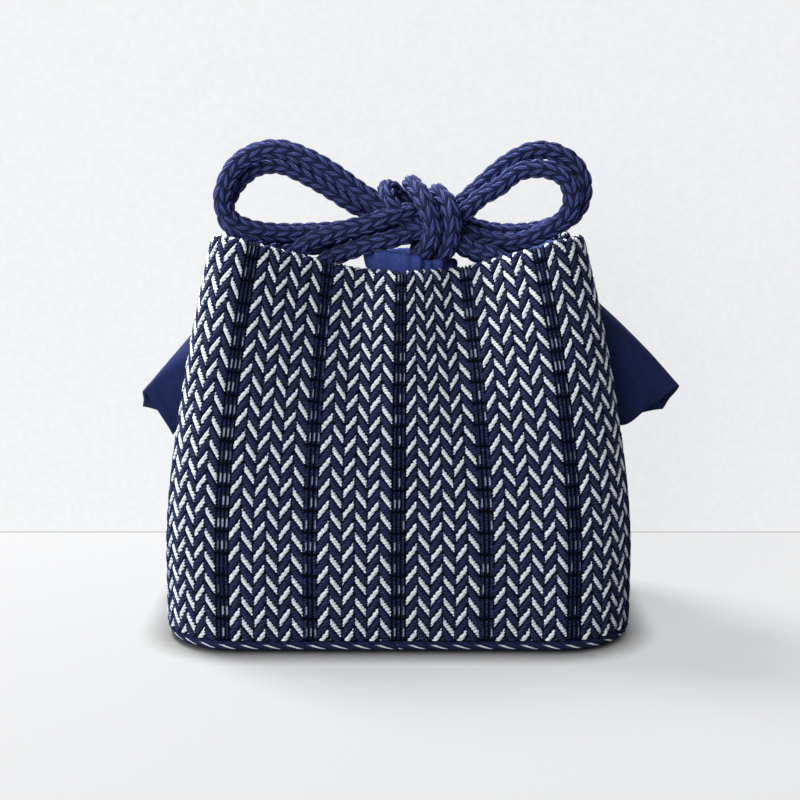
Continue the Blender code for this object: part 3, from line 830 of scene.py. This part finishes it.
def cotton_material(name, cotton, navy):
    """Plain-woven cotton: fine crossing threads with painted shade where they dip, soft creases and a little
    sheen.
    """
    material, tree, shader = new_material(name, 0.9, 0.02)
    place = tree.object_place()
    u, v, _ = tree.split(tree.uv("Cloth"))
    m, times, plus = tree.math, tree.times, tree.plus
    thread = cotton.thread / MM
    woven = times(*(m("SINE", times(way, 2 * math.pi / thread)) for way in (u, v)))
    # Painted shade where the threads dip under each other.
    fibre = tree.group(
        fibre_group(), Place=place, Colour=(*navy, 1.0), Fibre_scale=900.0,
        Variation=0.25, Groove=tree.step(woven, -0.5, -1.0, out=(0.0, 0.22)), Fade=0.30,
    )
    tree.put(shader.inputs["Base Color"], fibre["Colour"])
    creases = tree.noise(place, 110.0, distortion=0.3)
    height = plus(times(woven, 0.08), times(creases, 0.8), times(fibre["Fibres"], 0.10))
    bump(tree, shader, height, 0.0006)
    return material


def cord_material(cord):
    """Plaited cotton: each stitch is a few yarns side by side, with painted shade where it dips and between
    its yarns.
    """
    material, tree, shader = new_material("Plaited cord", 0.8, 0.04)
    stitch = tree.uv("Stitch")
    relief = tree.attribute("Relief")
    m, times, plus = tree.math, tree.times, tree.plus
    phase = tree.split(stitch)["Y"]
    wander = tree.noise(tree.scaled(stitch, (1.5, 3.0, 1.0)), 1.0)
    wavy = plus(phase, times(wander, 0.25))
    yarns = m("SINE", times(wavy, 2 * math.pi * cord.plait_yarns))
    # Painted shade between the yarns of a stitch and where the plait dips.
    shade_between_yarns = times(tree.step(yarns, 0.2, -1.0), 0.75)
    groove = m("MAXIMUM", tree.step(relief, 0.88, 0.35), shade_between_yarns)
    fibre = tree.group(
        fibre_group(), Place=tree.scaled(stitch, (2.0, 13.0, 1.0)), Colour=(*cord.navy, 1.0),
        Fibre_scale=1.0, Variation=0.70, Groove=groove, Fade=0.20,
    )
    tree.put(shader.inputs["Base Color"], fibre["Colour"])
    height = plus(times(yarns, 0.35), times(fibre["Fibres"], 0.8))
    bump(tree, shader, height, 0.0008)
    return material


def stage_material(name, tint, mottling, glow, painted_shadow_power):
    """Pale painted board that the camera sees brighter than the lights make it, with a painted contact shadow
    where things stand close, clear from behind.
    """
    material, tree, shader = new_material(name, 0.9, 0.0)
    place = tree.object_place()
    spots = tree.step(tree.noise(place, 420.0, detail=3.0, roughness=0.6), 0.3, 0.7, out=(0.0, mottling))
    grey = (0.5, 0.5, 0.5, 1.0)
    tree.put(shader.inputs["Base Color"], tree.mix(spots, (*tint, 1.0), grey))
    # Painted contact shadow: the glow dims where other things stand close.
    open_sky = tree.node("ShaderNodeAmbientOcclusion", {"Distance": 0.011}, samples=8).outputs["AO"]
    lamp = tree.node("ShaderNodeEmission", {
        "Color": tree.mix(spots, (0.905, 0.915, 0.93, 1.0), grey),
        "Strength": tree.math("POWER", open_sky, painted_shadow_power),
    })
    seen = tree.node("ShaderNodeLightPath").outputs["Is Camera Ray"]
    both = tree.node("ShaderNodeMixShader", {"Fac": tree.times(seen, glow)})
    tree.put(both.inputs[1], shader.outputs["BSDF"])
    tree.put(both.inputs[2], lamp.outputs["Emission"])
    behind = tree.node("ShaderNodeNewGeometry").outputs["Backfacing"]
    one_sided = tree.node("ShaderNodeMixShader", {"Fac": behind})
    tree.put(one_sided.inputs[1], both.outputs["Shader"])
    tree.put(one_sided.inputs[2], tree.node("ShaderNodeBsdfTransparent").outputs["BSDF"])
    tree.put(material.node_tree.nodes["Material Output"].inputs["Surface"], one_sided.outputs["Shader"])
    return material


def yarn_lines(weave):
    """Lines of one section of the weave: place in the section, yarn coordinate and climb.

    The stripe is the first unit of the yarn coordinate and each column is one more.
    """
    stripe, columns = weave.stripe_share, weave.columns
    found = [(stripe * (i / 6), i / 6, 0.0) for i in range(6)]
    width = (1 - stripe) / columns
    for column in range(columns):
        for across in (0.0, 0.12, 0.5, 0.88):
            climb = across if column % 2 == 0 else 1 - across
            found.append((stripe + (column + across) * width, 1 + column + across, climb))
    return np.array(found)


def laid_yarn(phase, white_share):
    """Height across yarns laid side by side, a white one first in each pitch, from 0 to 1."""
    along = np.where(phase < white_share, phase / white_share, (phase - white_share) / (1 - white_share))
    return 1 - np.abs(2 * along - 1) ** YARN_ROUNDNESS


class POUCH_OT_woven_wall(Operator):
    """Weaves the herringbone cloth flat, trims it and folds it into the drawn body"""

    bl_idname = "pouch.woven_wall"
    bl_label = "Woven wall"

    def execute(self, context):
        scene = context.scene
        body, weave = scene.pouch_body, scene.pouch_weave
        shell = Shell(body)
        top = weave.pitches * weave.pitch
        radius = body.wall / 2
        climb = weave.rise / weave.pitch
        lines = self.lines(weave)
        laid, faces = self.flat_cloth(context, shell, weave, lines, climb, top)
        laid = self.turn_over(laid, faces, top, radius)

        # yarn map: the stripe and columns across, pitches up with the climb taken out
        section = laid[:, 0] / shell.section
        yarn = np.interp(section, lines[:, 0], lines[:, 1])
        pitch = laid[:, 1] / weave.pitch - np.interp(section, lines[:, 0], lines[:, 2]) * climb
        height = self.relief(weave, yarn, pitch)
        points = self.drawn_in(shell, section, laid[:, 1], weave.relief * (1 - height), top, radius)

        piece = new_piece(points, faces)
        mesh = piece.data
        vertices = corner_vertices(mesh)
        set_attribute(mesh, "Relief", height)
        set_uv(mesh, "Yarn", np.stack([yarn[vertices], pitch[vertices]], 1))
        set_uv(mesh, "Cloth", laid[vertices] / MM)
        activate(piece)
        bpy.ops.object.mode_set(mode="EDIT")
        bpy.ops.mesh.select_all(action="SELECT")
        bpy.ops.mesh.remove_doubles(threshold=1e-6)
        bpy.ops.mesh.select_all(action="DESELECT")
        bpy.ops.mesh.select_mode(type="EDGE")
        bpy.ops.mesh.select_non_manifold()
        bpy.ops.mesh.bridge_edge_loops()
        bpy.ops.object.mode_set(mode="OBJECT")
        mesh.shade_smooth()
        settle(piece, "herringbone_wall", ["woven_wall"], herringbone_material(weave))
        return {"FINISHED"}

    def lines(self, weave):
        """Lines of the flat cloth from seam to seam: section, yarn coordinate and climb."""
        units = weave.columns + 1
        # The stripe is centred on whole sections, so each section's lines start half a stripe early.
        early = weave.stripe_share / 2
        end = SIDE_SEAM + SECTIONS
        sections = [
            yarn_lines(weave) + (section - early, section * units, 0) for section in range(SIDE_SEAM, end)
        ]
        return np.vstack([*sections, [[end - early, end * units, 0]]])

    def flat_cloth(self, context, shell, weave, lines, climb, top):
        """Points and faces of the cloth, laid flat and trimmed to its height."""
        share = weave.white_share
        # Floats of every second column lie half a pitch higher, so each ridge has rows for both.
        ridges = np.array([0.0, 0.08, share / 2, share - 0.08, share])
        ridges = [*ridges, *(ridges + 0.5)]
        counts = range(-math.ceil(climb) - 1, math.ceil(weave.pitches) + 1)
        rows = np.array([count + at for count in counts for at in ridges])
        deselect()
        bpy.ops.mesh.primitive_grid_add(
            x_subdivisions=len(lines) - 1, y_subdivisions=len(rows) - 1, size=1, location=(0, 0, 0)
        )
        piece = context.object
        mesh = piece.data
        flat = np.zeros((len(rows), len(lines), 3))
        flat[..., 0] = lines[:, 0] * shell.section
        flat[..., 1] = (rows[:, None] + climb * lines[:, 2]) * weave.pitch
        mesh.vertices.foreach_set("co", flat.ravel())
        bpy.ops.object.mode_set(mode="EDIT")
        for height, up in ((0.0, -1), (top, 1)):
            bpy.ops.mesh.select_all(action="SELECT")
            bpy.ops.mesh.bisect(
                plane_co=(0, height, 0), plane_no=(0, up, 0), clear_outer=True, threshold=1e-7
            )
        bpy.ops.object.mode_set(mode="OBJECT")
        cut = np.zeros(len(mesh.vertices) * 3)
        mesh.vertices.foreach_get("co", cut)
        faces = [list(polygon.vertices) for polygon in mesh.polygons]
        bpy.data.objects.remove(piece)
        return cut.reshape(-1, 3)[:, :2], faces

    def turn_over(self, cut, faces, top, radius):
        """Adds the turned edge and the inner face, which carry on from the trimmed upper edge."""
        upper = np.flatnonzero(np.abs(cut[:, 1] - top) < 1e-6)
        upper = upper[np.argsort(cut[upper, 0])]
        turned = top + radius * np.linspace(0, np.pi, 7)[1:]
        inner = top + radius * np.pi + np.linspace(0, 1, 5)[1:] * top
        rings, laid = [upper], [cut]
        for level in (*turned, *inner):
            rings.append(sum(map(len, laid)) + np.arange(len(upper)))
            laid.append(np.stack([cut[upper, 0], np.full(len(upper), level)], 1))
        for low, high in zip(rings, rings[1:]):
            faces.extend(np.stack([low[:-1], low[1:], high[1:], high[:-1]], 1).tolist())
        return np.vstack(laid)

    def relief(self, weave, yarn, pitch):
        """Height of the cloth between its grooves and its crests, from 0 to 1."""
        place = np.mod(yarn, weave.columns + 1)
        across = np.mod(place, 1)
        phase = np.mod(pitch + 0.5 * (np.floor(place + 1e-6) % 2), 1)
        ends = 1 - np.abs(2 * across - 1) ** 6
        floats = laid_yarn(phase, weave.white_share) * (0.65 + 0.35 * ends)
        threads = np.abs(np.sin(3 * np.pi * across)) ** 0.5
        stitched = 1 - 0.65 * np.exp(-(((np.mod(pitch + 0.5, 1) - 0.5) / 0.07) ** 2))
        in_stripe = (place > 0) & (place < 1)
        height = np.where(in_stripe, 0.9 * threads * stitched, floats)
        height[np.isclose(across, 0) | np.isclose(across, 1)] *= 0.85
        return height

    def drawn_in(self, shell, section, level, groove, top, radius):
        """Points on the drawn body for these levels of the flat cloth, over its rim and down inside."""
        rim = shell.mouth_height(section) - radius
        spare = top - (rim - shell.foot)
        angle = (level - top) / radius
        bent = np.clip(angle, 0, np.pi)
        past_rim = (level - top - radius * np.pi) / top
        where = [angle <= 1e-6, angle <= np.pi + 1e-6]
        z = np.select(
            where,
            [
                shell.foot + level - spare * np.clip(level / top, 0, 1) ** 2,
                rim + (radius - groove) * np.sin(bent),
            ],
            rim - past_rim * (rim - shell.foot),
        )
        inward = np.select(where, [groove, radius - (radius - groove) * np.cos(bent)], shell.body.wall)
        return shell.point(section, z, inward)


class POUCH_OT_woven_base(Operator):
    """Makes the base panel with its row of laid yarns round the rounded edge"""

    bl_idname = "pouch.woven_base"
    bl_label = "Woven base"

    def execute(self, context):
        scene = context.scene
        body, weave = scene.pouch_body, scene.pouch_weave
        shell = Shell(body)
        around = SECTIONS * 60
        sections = np.arange(around) * SECTIONS / around
        heights = body.base_thickness * np.linspace(1, 0, 14) ** 1.2
        inset = shell.edge_inset(heights)
        climbed = np.concatenate([[0], np.cumsum(np.hypot(np.diff(inset), np.diff(heights)))])
        place = sections * shell.section / weave.pitch
        slant = place[None, :] - weave.base_slant * climbed[:, None] / weave.pitch
        across = np.clip(climbed / climbed[-1], 0, 1)[:, None]
        yarns = laid_yarn(np.mod(slant, 1), weave.white_share) * (1 - 0.6 * np.abs(2 * across - 1) ** 4)
        depth = 0.7 * weave.relief * (1 - yarns)
        rings = []
        for row, z in enumerate(heights):
            flat = shell.outline(sections, inset[row] + depth[row])
            rings.append(np.column_stack([flat, np.full(around, z)]))
        foot = shell.outline(sections, shell.edge_inset(0.0))
        under = (0.95, 0.8, 0.5, 0.2)
        rings += [np.column_stack([foot * part, np.zeros(around)]) for part in under]
        rows = np.array(rings)[::-1]
        piece = grid_piece(rows, closed_lines=True, caps=("first", "last"))
        flat_v = climbed[-1] + body.depth / 2 * (1 - np.array(under))
        v = np.concatenate([climbed, flat_v])[::-1, None] / MM + np.zeros(around)
        grid_uv(piece, sections * shell.section / MM, v, periods=(shell.perimeter / MM, None))
        relief = np.vstack([yarns, np.ones((len(under), around))])[::-1]
        set_attribute(piece.data, "Relief", relief)
        settle(piece, "base_panel", ["woven_base"], base_material(weave))
        return {"FINISHED"}


class POUCH_OT_lining(Operator):
    """Makes the loose cotton lining bag"""

    bl_idname = "pouch.lining"
    bl_label = "Lining"

    def execute(self, context):
        scene = context.scene
        body, cotton = scene.pouch_body, scene.pouch_cotton
        shell = Shell(body)
        around, up = 192, 24
        sections = np.arange(around) * SECTIONS / around
        outside = body.wall + cotton.ease
        top = shell.mouth_height(sections) - cotton.lining_drop
        parts = np.linspace(0, 1, up)
        rings = []
        for part, inward, start in [(part, outside, 0.0) for part in parts] + [
            (part, outside + cotton.thickness, cotton.thickness) for part in parts[::-1]
        ]:
            z = shell.foot + start + part * (top - shell.foot - start)
            crumple = 0.0004 * (1 + np.sin(sections * 5.1 + 9 * part) * np.sin(np.pi * part))
            rings.append(shell.point(sections, z, inward + crumple))
        piece = grid_piece(np.array(rings), closed_lines=True, caps=("first", "last"))
        tall = np.concatenate([parts, 2 - parts[::-1]])[:, None] * body.height / MM + np.zeros(around)
        grid_uv(piece, sections * shell.section / MM, tall, periods=(shell.perimeter / MM, None))
        # The lining takes the wings' darker navy, painted shade.
        material = cotton_material("Lining cotton", cotton, cotton.shaded_wing_navy)
        settle(piece, "cotton_lining", ["lining_bag"], material)
        return {"FINISHED"}


class POUCH_OT_collar(Operator):
    """Makes the cotton collar that the cords gather to a neck"""

    bl_idname = "pouch.collar"
    bl_label = "Gathered collar"

    def execute(self, context):
        scene = context.scene
        body, cotton = scene.pouch_body, scene.pouch_cotton
        shell = Shell(body)
        around, steps = 480, 84
        sections = np.arange(around) * SECTIONS / around
        inward = body.wall + cotton.ease
        mouth = shell.mouth_height(sections)
        knots = [
            shell.point(sections, mouth - below, inward)
            for below in np.linspace(cotton.lining_drop - 0.0006, cotton.collar_turn, 3)
        ]
        start = knots[-1]
        neck = closed_curve(NECK, sections) * MM
        plan, lip = neck[:, :2], body.height - neck[:, 2]
        out = plan - NECK_CENTRE
        out /= np.linalg.norm(out, axis=1, keepdims=True)

        def knot(place, z):
            return np.column_stack([place, z + np.zeros(around)])

        # From the wall the cloth falls to the dip and then climbs to its fold.
        from_plan, from_z = start[:, :2], start[:, 2]
        for across, fall in ((0.12, -0.03), (0.30, 0.35), (0.58, 0.95), (0.84, 1.0)):
            knots.append(knot(from_plan + across * (plan - from_plan), from_z + fall * (cotton.dip - from_z)))
        # The fold itself, out from the neck and below its top, and then the closed middle.
        for outward, below in ((0.0, 8.0), (0.4, 5.0), (0.9, 2.2), (0.5, 0.5), (-0.9, 0.0), (-2.4, 1.0)):
            knots.append(knot(plan + outward * MM * out, lip - below * MM))
        for part in (0.5, 0.2, 0.02):
            knots.append(knot(NECK_CENTRE + part * (plan - NECK_CENTRE), body.height - 0.0115))
        flat = open_curve(np.array(knots).reshape(len(knots), -1), steps)
        rings = flat.reshape(-1, around, 3)

        # Pleats follow the length of the neck, so they stay as wide where the cloth is crowded.
        edges = np.linalg.norm(np.roll(plan, -1, axis=0) - plan, axis=1)
        share_round = np.concatenate([[0], np.cumsum(edges)[:-1]]) / edges.sum()
        draw = np.random.default_rng(5)
        pleats = sum(
            draw.uniform(0.5, 1.0) * np.cos(2 * np.pi * count * share_round + draw.uniform(0, 6.3))
            for count in (8, 13, 17, 22)
        )
        pleats /= np.abs(pleats).max()
        crease = np.exp(-(((sections - CREASE) / 0.045) ** 2))
        rise = np.linspace(0, 1, steps + 1)
        gathered = np.interp(rise, (0.15, 0.35, 0.62, 0.80, 0.95), (0.0, 0.4, 1.0, 0.8, 0.0))[:, None]
        rings[..., :2] += (gathered * (0.0011 * pleats - 0.0016 * crease))[..., None] * out
        rings[..., 2] += gathered * (0.0005 * pleats - 0.0008 * crease)
        piece = grid_piece(rings, closed_lines=True, caps=("last",))
        travelled = np.cumsum(np.linalg.norm(np.diff(rings[:, 0], axis=0, prepend=rings[:1, 0]), axis=1))
        grid_uv(
            piece, sections * shell.section / MM, np.repeat(travelled / MM, around),
            periods=(shell.perimeter / MM, None),
        )
        thicken(piece, cotton.thickness)
        # The collar's brighter navy is painted sheen and light through thin cloth.
        material = cotton_material("Collar cotton", cotton, cotton.lit_collar_navy)
        settle(piece, "cotton_collar", ["gathered_collar"], material)
        return {"FINISHED"}


class POUCH_OT_wings(Operator):
    """Makes the two wings of doubled cotton that stand out at the sides"""

    bl_idname = "pouch.wings"
    bl_label = "Wings"

    def execute(self, context):
        scene = context.scene
        shell, cotton = Shell(scene.pouch_body), scene.pouch_cotton
        # The wings' darker navy is painted shade.
        material = cotton_material("Wing cotton", cotton, cotton.shaded_wing_navy)
        for name, node, lists, side in (
            ("right_wing_cloth", "right_wing", RIGHT_WING, 1),
            ("left_wing_cloth", "left_wing", LEFT_WING, -1),
        ):
            piece = self.wing(shell, cotton, lists, side)
            settle(piece, name, [node], material)
        return {"FINISHED"}

    def edge(self, shell, points, side, steps):
        """World points of one edge, measured from the wall's side fold."""
        section = RIGHT_FOLD if side > 0 else LEFT_FOLD
        out, y, below = np.array(points).T * MM
        z = shell.body.height - below
        fold = shell.plan(np.full(len(z), section), np.minimum(z, shell.mouth_height(section)))[:, 0]
        return open_curve(np.column_stack([fold + side * out, y, z]), steps)

    def wing(self, shell, cotton, lists, side):
        """A cloth laid over its ridge, with a panel on each side that stands out and ends in a hem."""
        steps, panel = 110, 36
        crest, near, far = (
            self.edge(shell, lists[key], side, steps) for key in ("ridge", "front", "back")
        )
        down = unit((near + far) / 2 - crest)
        apart = near - far
        apart = unit(apart - np.sum(apart * down, axis=1, keepdims=True) * down)
        lap = np.linspace(0, 1, steps + 1)
        from_tip = np.linalg.norm(crest[-1] - crest, axis=1)
        lines = []
        for place in np.linspace(-1, 1, 2 * panel + 1):
            facing, t = math.copysign(1, place), place * place
            edge = near if facing > 0 else far
            # The square root rounds the ridge.
            belly = 2.6 * cotton.belly * math.sqrt(t) * (1 - t) * np.sin(np.pi * (0.15 + 0.82 * lap))
            folds = 0.0007 * math.sin(math.pi * t) * np.sin(9.0 * lap + 4.0 * t + facing) * lap
            from_edge = np.linalg.norm(edge - crest, axis=1) * (1 - t)
            in_hem = np.minimum(from_edge, from_tip) < cotton.hem
            raised = belly + folds + 0.35 * cotton.thickness * in_hem * min(1, 8 * t)
            lines.append(crest + t * (edge - crest) + raised[:, None] * facing * apart)
        rows = np.array(lines).swapaxes(0, 1)
        piece = grid_piece(rows[:, ::side])
        width = np.cumsum(np.linalg.norm(np.diff(rows[-1], axis=0, prepend=rows[-1][:1]), axis=1))
        tall = np.cumsum(np.linalg.norm(np.diff(crest, axis=0, prepend=crest[:1]), axis=1))
        grid_uv(piece, width[::side] / MM, np.repeat(tall / MM, len(width)))
        thicken(piece, cotton.thickness)
        return piece


def plaited_tube(path, cord, closed):
    """A mesh tube along the path with the stitches of a round plait, its middle line and length."""
    spacing, per_column = 0.00048, 6
    line, run = evenly(np.array(path) * MM, spacing, closed)
    count = len(line)
    if closed:
        forward = unit(np.roll(line, -1, axis=0) - np.roll(line, 1, axis=0))
    else:
        forward = unit(np.gradient(line, axis=0))
    side = np.zeros_like(line)
    side[0] = unit(np.cross(forward[0], (0.0, 1.0, 0.0)))
    for i in range(1, count):
        side[i] = unit(side[i - 1] - forward[i] * (side[i - 1] @ forward[i]))
    twist = np.zeros(count)
    if closed:
        kept = unit(side[-1] - forward[0] * (side[-1] @ forward[0]))
        gap = math.atan2(np.cross(kept, side[0]) @ forward[0], kept @ side[0])
        twist = gap * np.arange(count) / count
    other = np.cross(forward, side)
    columns = cord.plait_columns
    around = columns * per_column
    angle = 2 * np.pi * np.arange(around) / around
    stitches = max(1, round(run / cord.plait_pitch))
    travel = np.arange(count) / (count if closed else count - 1) * stitches
    column = np.arange(around) / per_column
    which, across = np.floor(column), np.mod(column, 1)
    # The strands lean to and fro from column to column, so their stitches meet as chevrons.
    zigzag = np.where(which % 2 == 0, across, 1 - across)
    phase = travel[:, None] + cord.plait_slope * zigzag
    stitch = 1 - np.abs(2 * np.mod(phase, 1) - 1) ** 2.2
    rib = 1 - 0.9 * np.abs(2 * across - 1) ** 2.6
    height = stitch * rib
    radius = (cord.diameter / 2 - cord.plait_depth * (1 - height))[..., None]
    turned = (angle[None, :] + twist[:, None])[..., None]
    rows = line[:, None] + radius * (np.cos(turned) * side[:, None] + np.sin(turned) * other[:, None])
    caps = () if closed else ("first", "last")
    piece = grid_piece(rows, closed_rows=closed, closed_lines=True, caps=caps)
    grid_uv(piece, column, phase, name="Stitch", periods=(columns, stitches if closed else None))
    set_attribute(piece.data, "Relief", height)
    return piece, line, run


class POUCH_OT_cords(Operator):
    """Plaits the two drawcords and the turns of the knot"""

    bl_idname = "pouch.cords"
    bl_label = "Cords and knot"

    def execute(self, context):
        cord = context.scene.pouch_cord
        material = cord_material(cord)
        for name, points in KNOT_TURNS.items():
            piece, _, _ = plaited_tube(points, cord, True)
            settle(piece, name, ["bow_knot"], material)
        piece, _, _ = plaited_tube(KNOT_BEND, cord, False)
        settle(piece, "knot_bend", ["bow_knot"], material)
        for name, stretches in CORDS.items():
            path = []
            for stretch, backwards, inside in stretches:
                points = STRETCHES[stretch]
                path += [*(points[::-1] if backwards else points), *inside]
            piece, line, run = plaited_tube(path, cord, False)
            settle(piece, name, [stretch for stretch, _, _ in stretches], material)
            tuple(line[0])
        return {"FINISHED"}


class POUCH_OT_stage(Operator):
    """Sets out the floor, the backdrop, the lights and the camera"""

    bl_idname = "pouch.stage"
    bl_label = "Stage"

    def execute(self, context):
        scene = context.scene
        stage = scene.pouch_stage
        deselect()
        size = stage.board
        bpy.ops.mesh.primitive_plane_add(size=size, location=(0, stage.wall_behind - size / 2, -0.0002))
        floor = context.object
        bpy.ops.object.transform_apply()
        bpy.ops.mesh.primitive_plane_add(
            size=size, location=(0, stage.wall_behind, stage.wall_height / 2), rotation=(math.pi / 2, 0, 0)
        )
        wall = context.object
        wall.scale.y = stage.wall_height / size
        wall.visible_shadow = False
        bpy.ops.object.transform_apply()
        # The floor's glow takes a painted contact shadow; the backdrop's does not.
        for board, name, tint, glow, mottling, painted_shadow_power in (
            (floor, "floor", stage.floor, stage.floor_glow, 0.03, 2.2),
            (wall, "backdrop", stage.backdrop, stage.backdrop_glow, 0.08, 0.0),
        ):
            board.name = name
            board.data.materials.append(stage_material(name.title(), tint, mottling, glow, painted_shadow_power))
        world = bpy.data.worlds.new("Studio")
        world.use_nodes = True
        sky = world.node_tree.nodes["Background"].inputs
        sky["Color"].default_value = (0.95, 0.97, 1.0, 1.0)
        sky["Strength"].default_value = stage.sky
        scene.world = world
        for name, place, aim, size, power in (
            ("Window", (-0.45, 0.36, 1.00), (0, 0, 0.08), 0.35, 34.0),
            ("Room", (-0.62, -1.15, 0.55), (0, 0, 0.07), 1.0, 18.0),
        ):
            light = bpy.data.lights.new(name, "AREA")
            light.size = size
            light.energy = power
            lamp = bpy.data.objects.new(name, light)
            lamp.location = place
            lamp.rotation_euler = (Vector(aim) - Vector(place)).to_track_quat("-Z", "Y").to_euler()
            scene.collection.objects.link(lamp)
        view = bpy.data.cameras.new("Camera")
        view.sensor_width = 36
        view.lens = 36 * stage.distance / stage.frame_width
        view.clip_start, view.clip_end = 0.01, 20
        camera = bpy.data.objects.new("Camera", view)
        back = Vector((0, -math.cos(stage.elevation), math.sin(stage.elevation)))
        camera.location = Vector((0.0005, 0, stage.aim_height)) + stage.distance * back
        camera.rotation_euler = (-back).to_track_quat("-Z", "Y").to_euler()
        scene.collection.objects.link(camera)
        scene.camera = camera
        scene.view_settings.view_transform = "Standard"
        return {"FINISHED"}


class POUCH_PT_build(Panel):
    """Builds the pouch piece by piece"""

    bl_label = "Teaware Pouch"
    bl_idname = "POUCH_PT_build"
    bl_space_type = "VIEW_3D"
    bl_region_type = "UI"
    bl_category = "Pouch"

    def draw(self, context):
        for name in GROUPS:
            group = getattr(context.scene, name)
            box = self.layout.box()
            for key in group.bl_rna.properties.keys():
                if key not in ("rna_type", "name"):
                    box.prop(group, key)
        for operator in OPERATORS:
            self.layout.operator(operator.bl_idname)


OPERATORS = (
    POUCH_OT_stage,
    POUCH_OT_cords,
    POUCH_OT_woven_wall,
    POUCH_OT_woven_base,
    POUCH_OT_lining,
    POUCH_OT_collar,
    POUCH_OT_wings,
)
CLASSES = (*GROUPS.values(), *OPERATORS, POUCH_PT_build)


def register():
    for item in CLASSES:
        bpy.utils.register_class(item)
    for name, group in GROUPS.items():
        setattr(bpy.types.Scene, name, PointerProperty(type=group))


def unregister():
    for name in GROUPS:
        delattr(bpy.types.Scene, name)
    for item in reversed(CLASSES):
        bpy.utils.unregister_class(item)


def main():
    register()
    for operator in OPERATORS:
        group, name = operator.bl_idname.split(".")
        getattr(getattr(bpy.ops, group), name)()


if __name__ == "__main__":
    main()
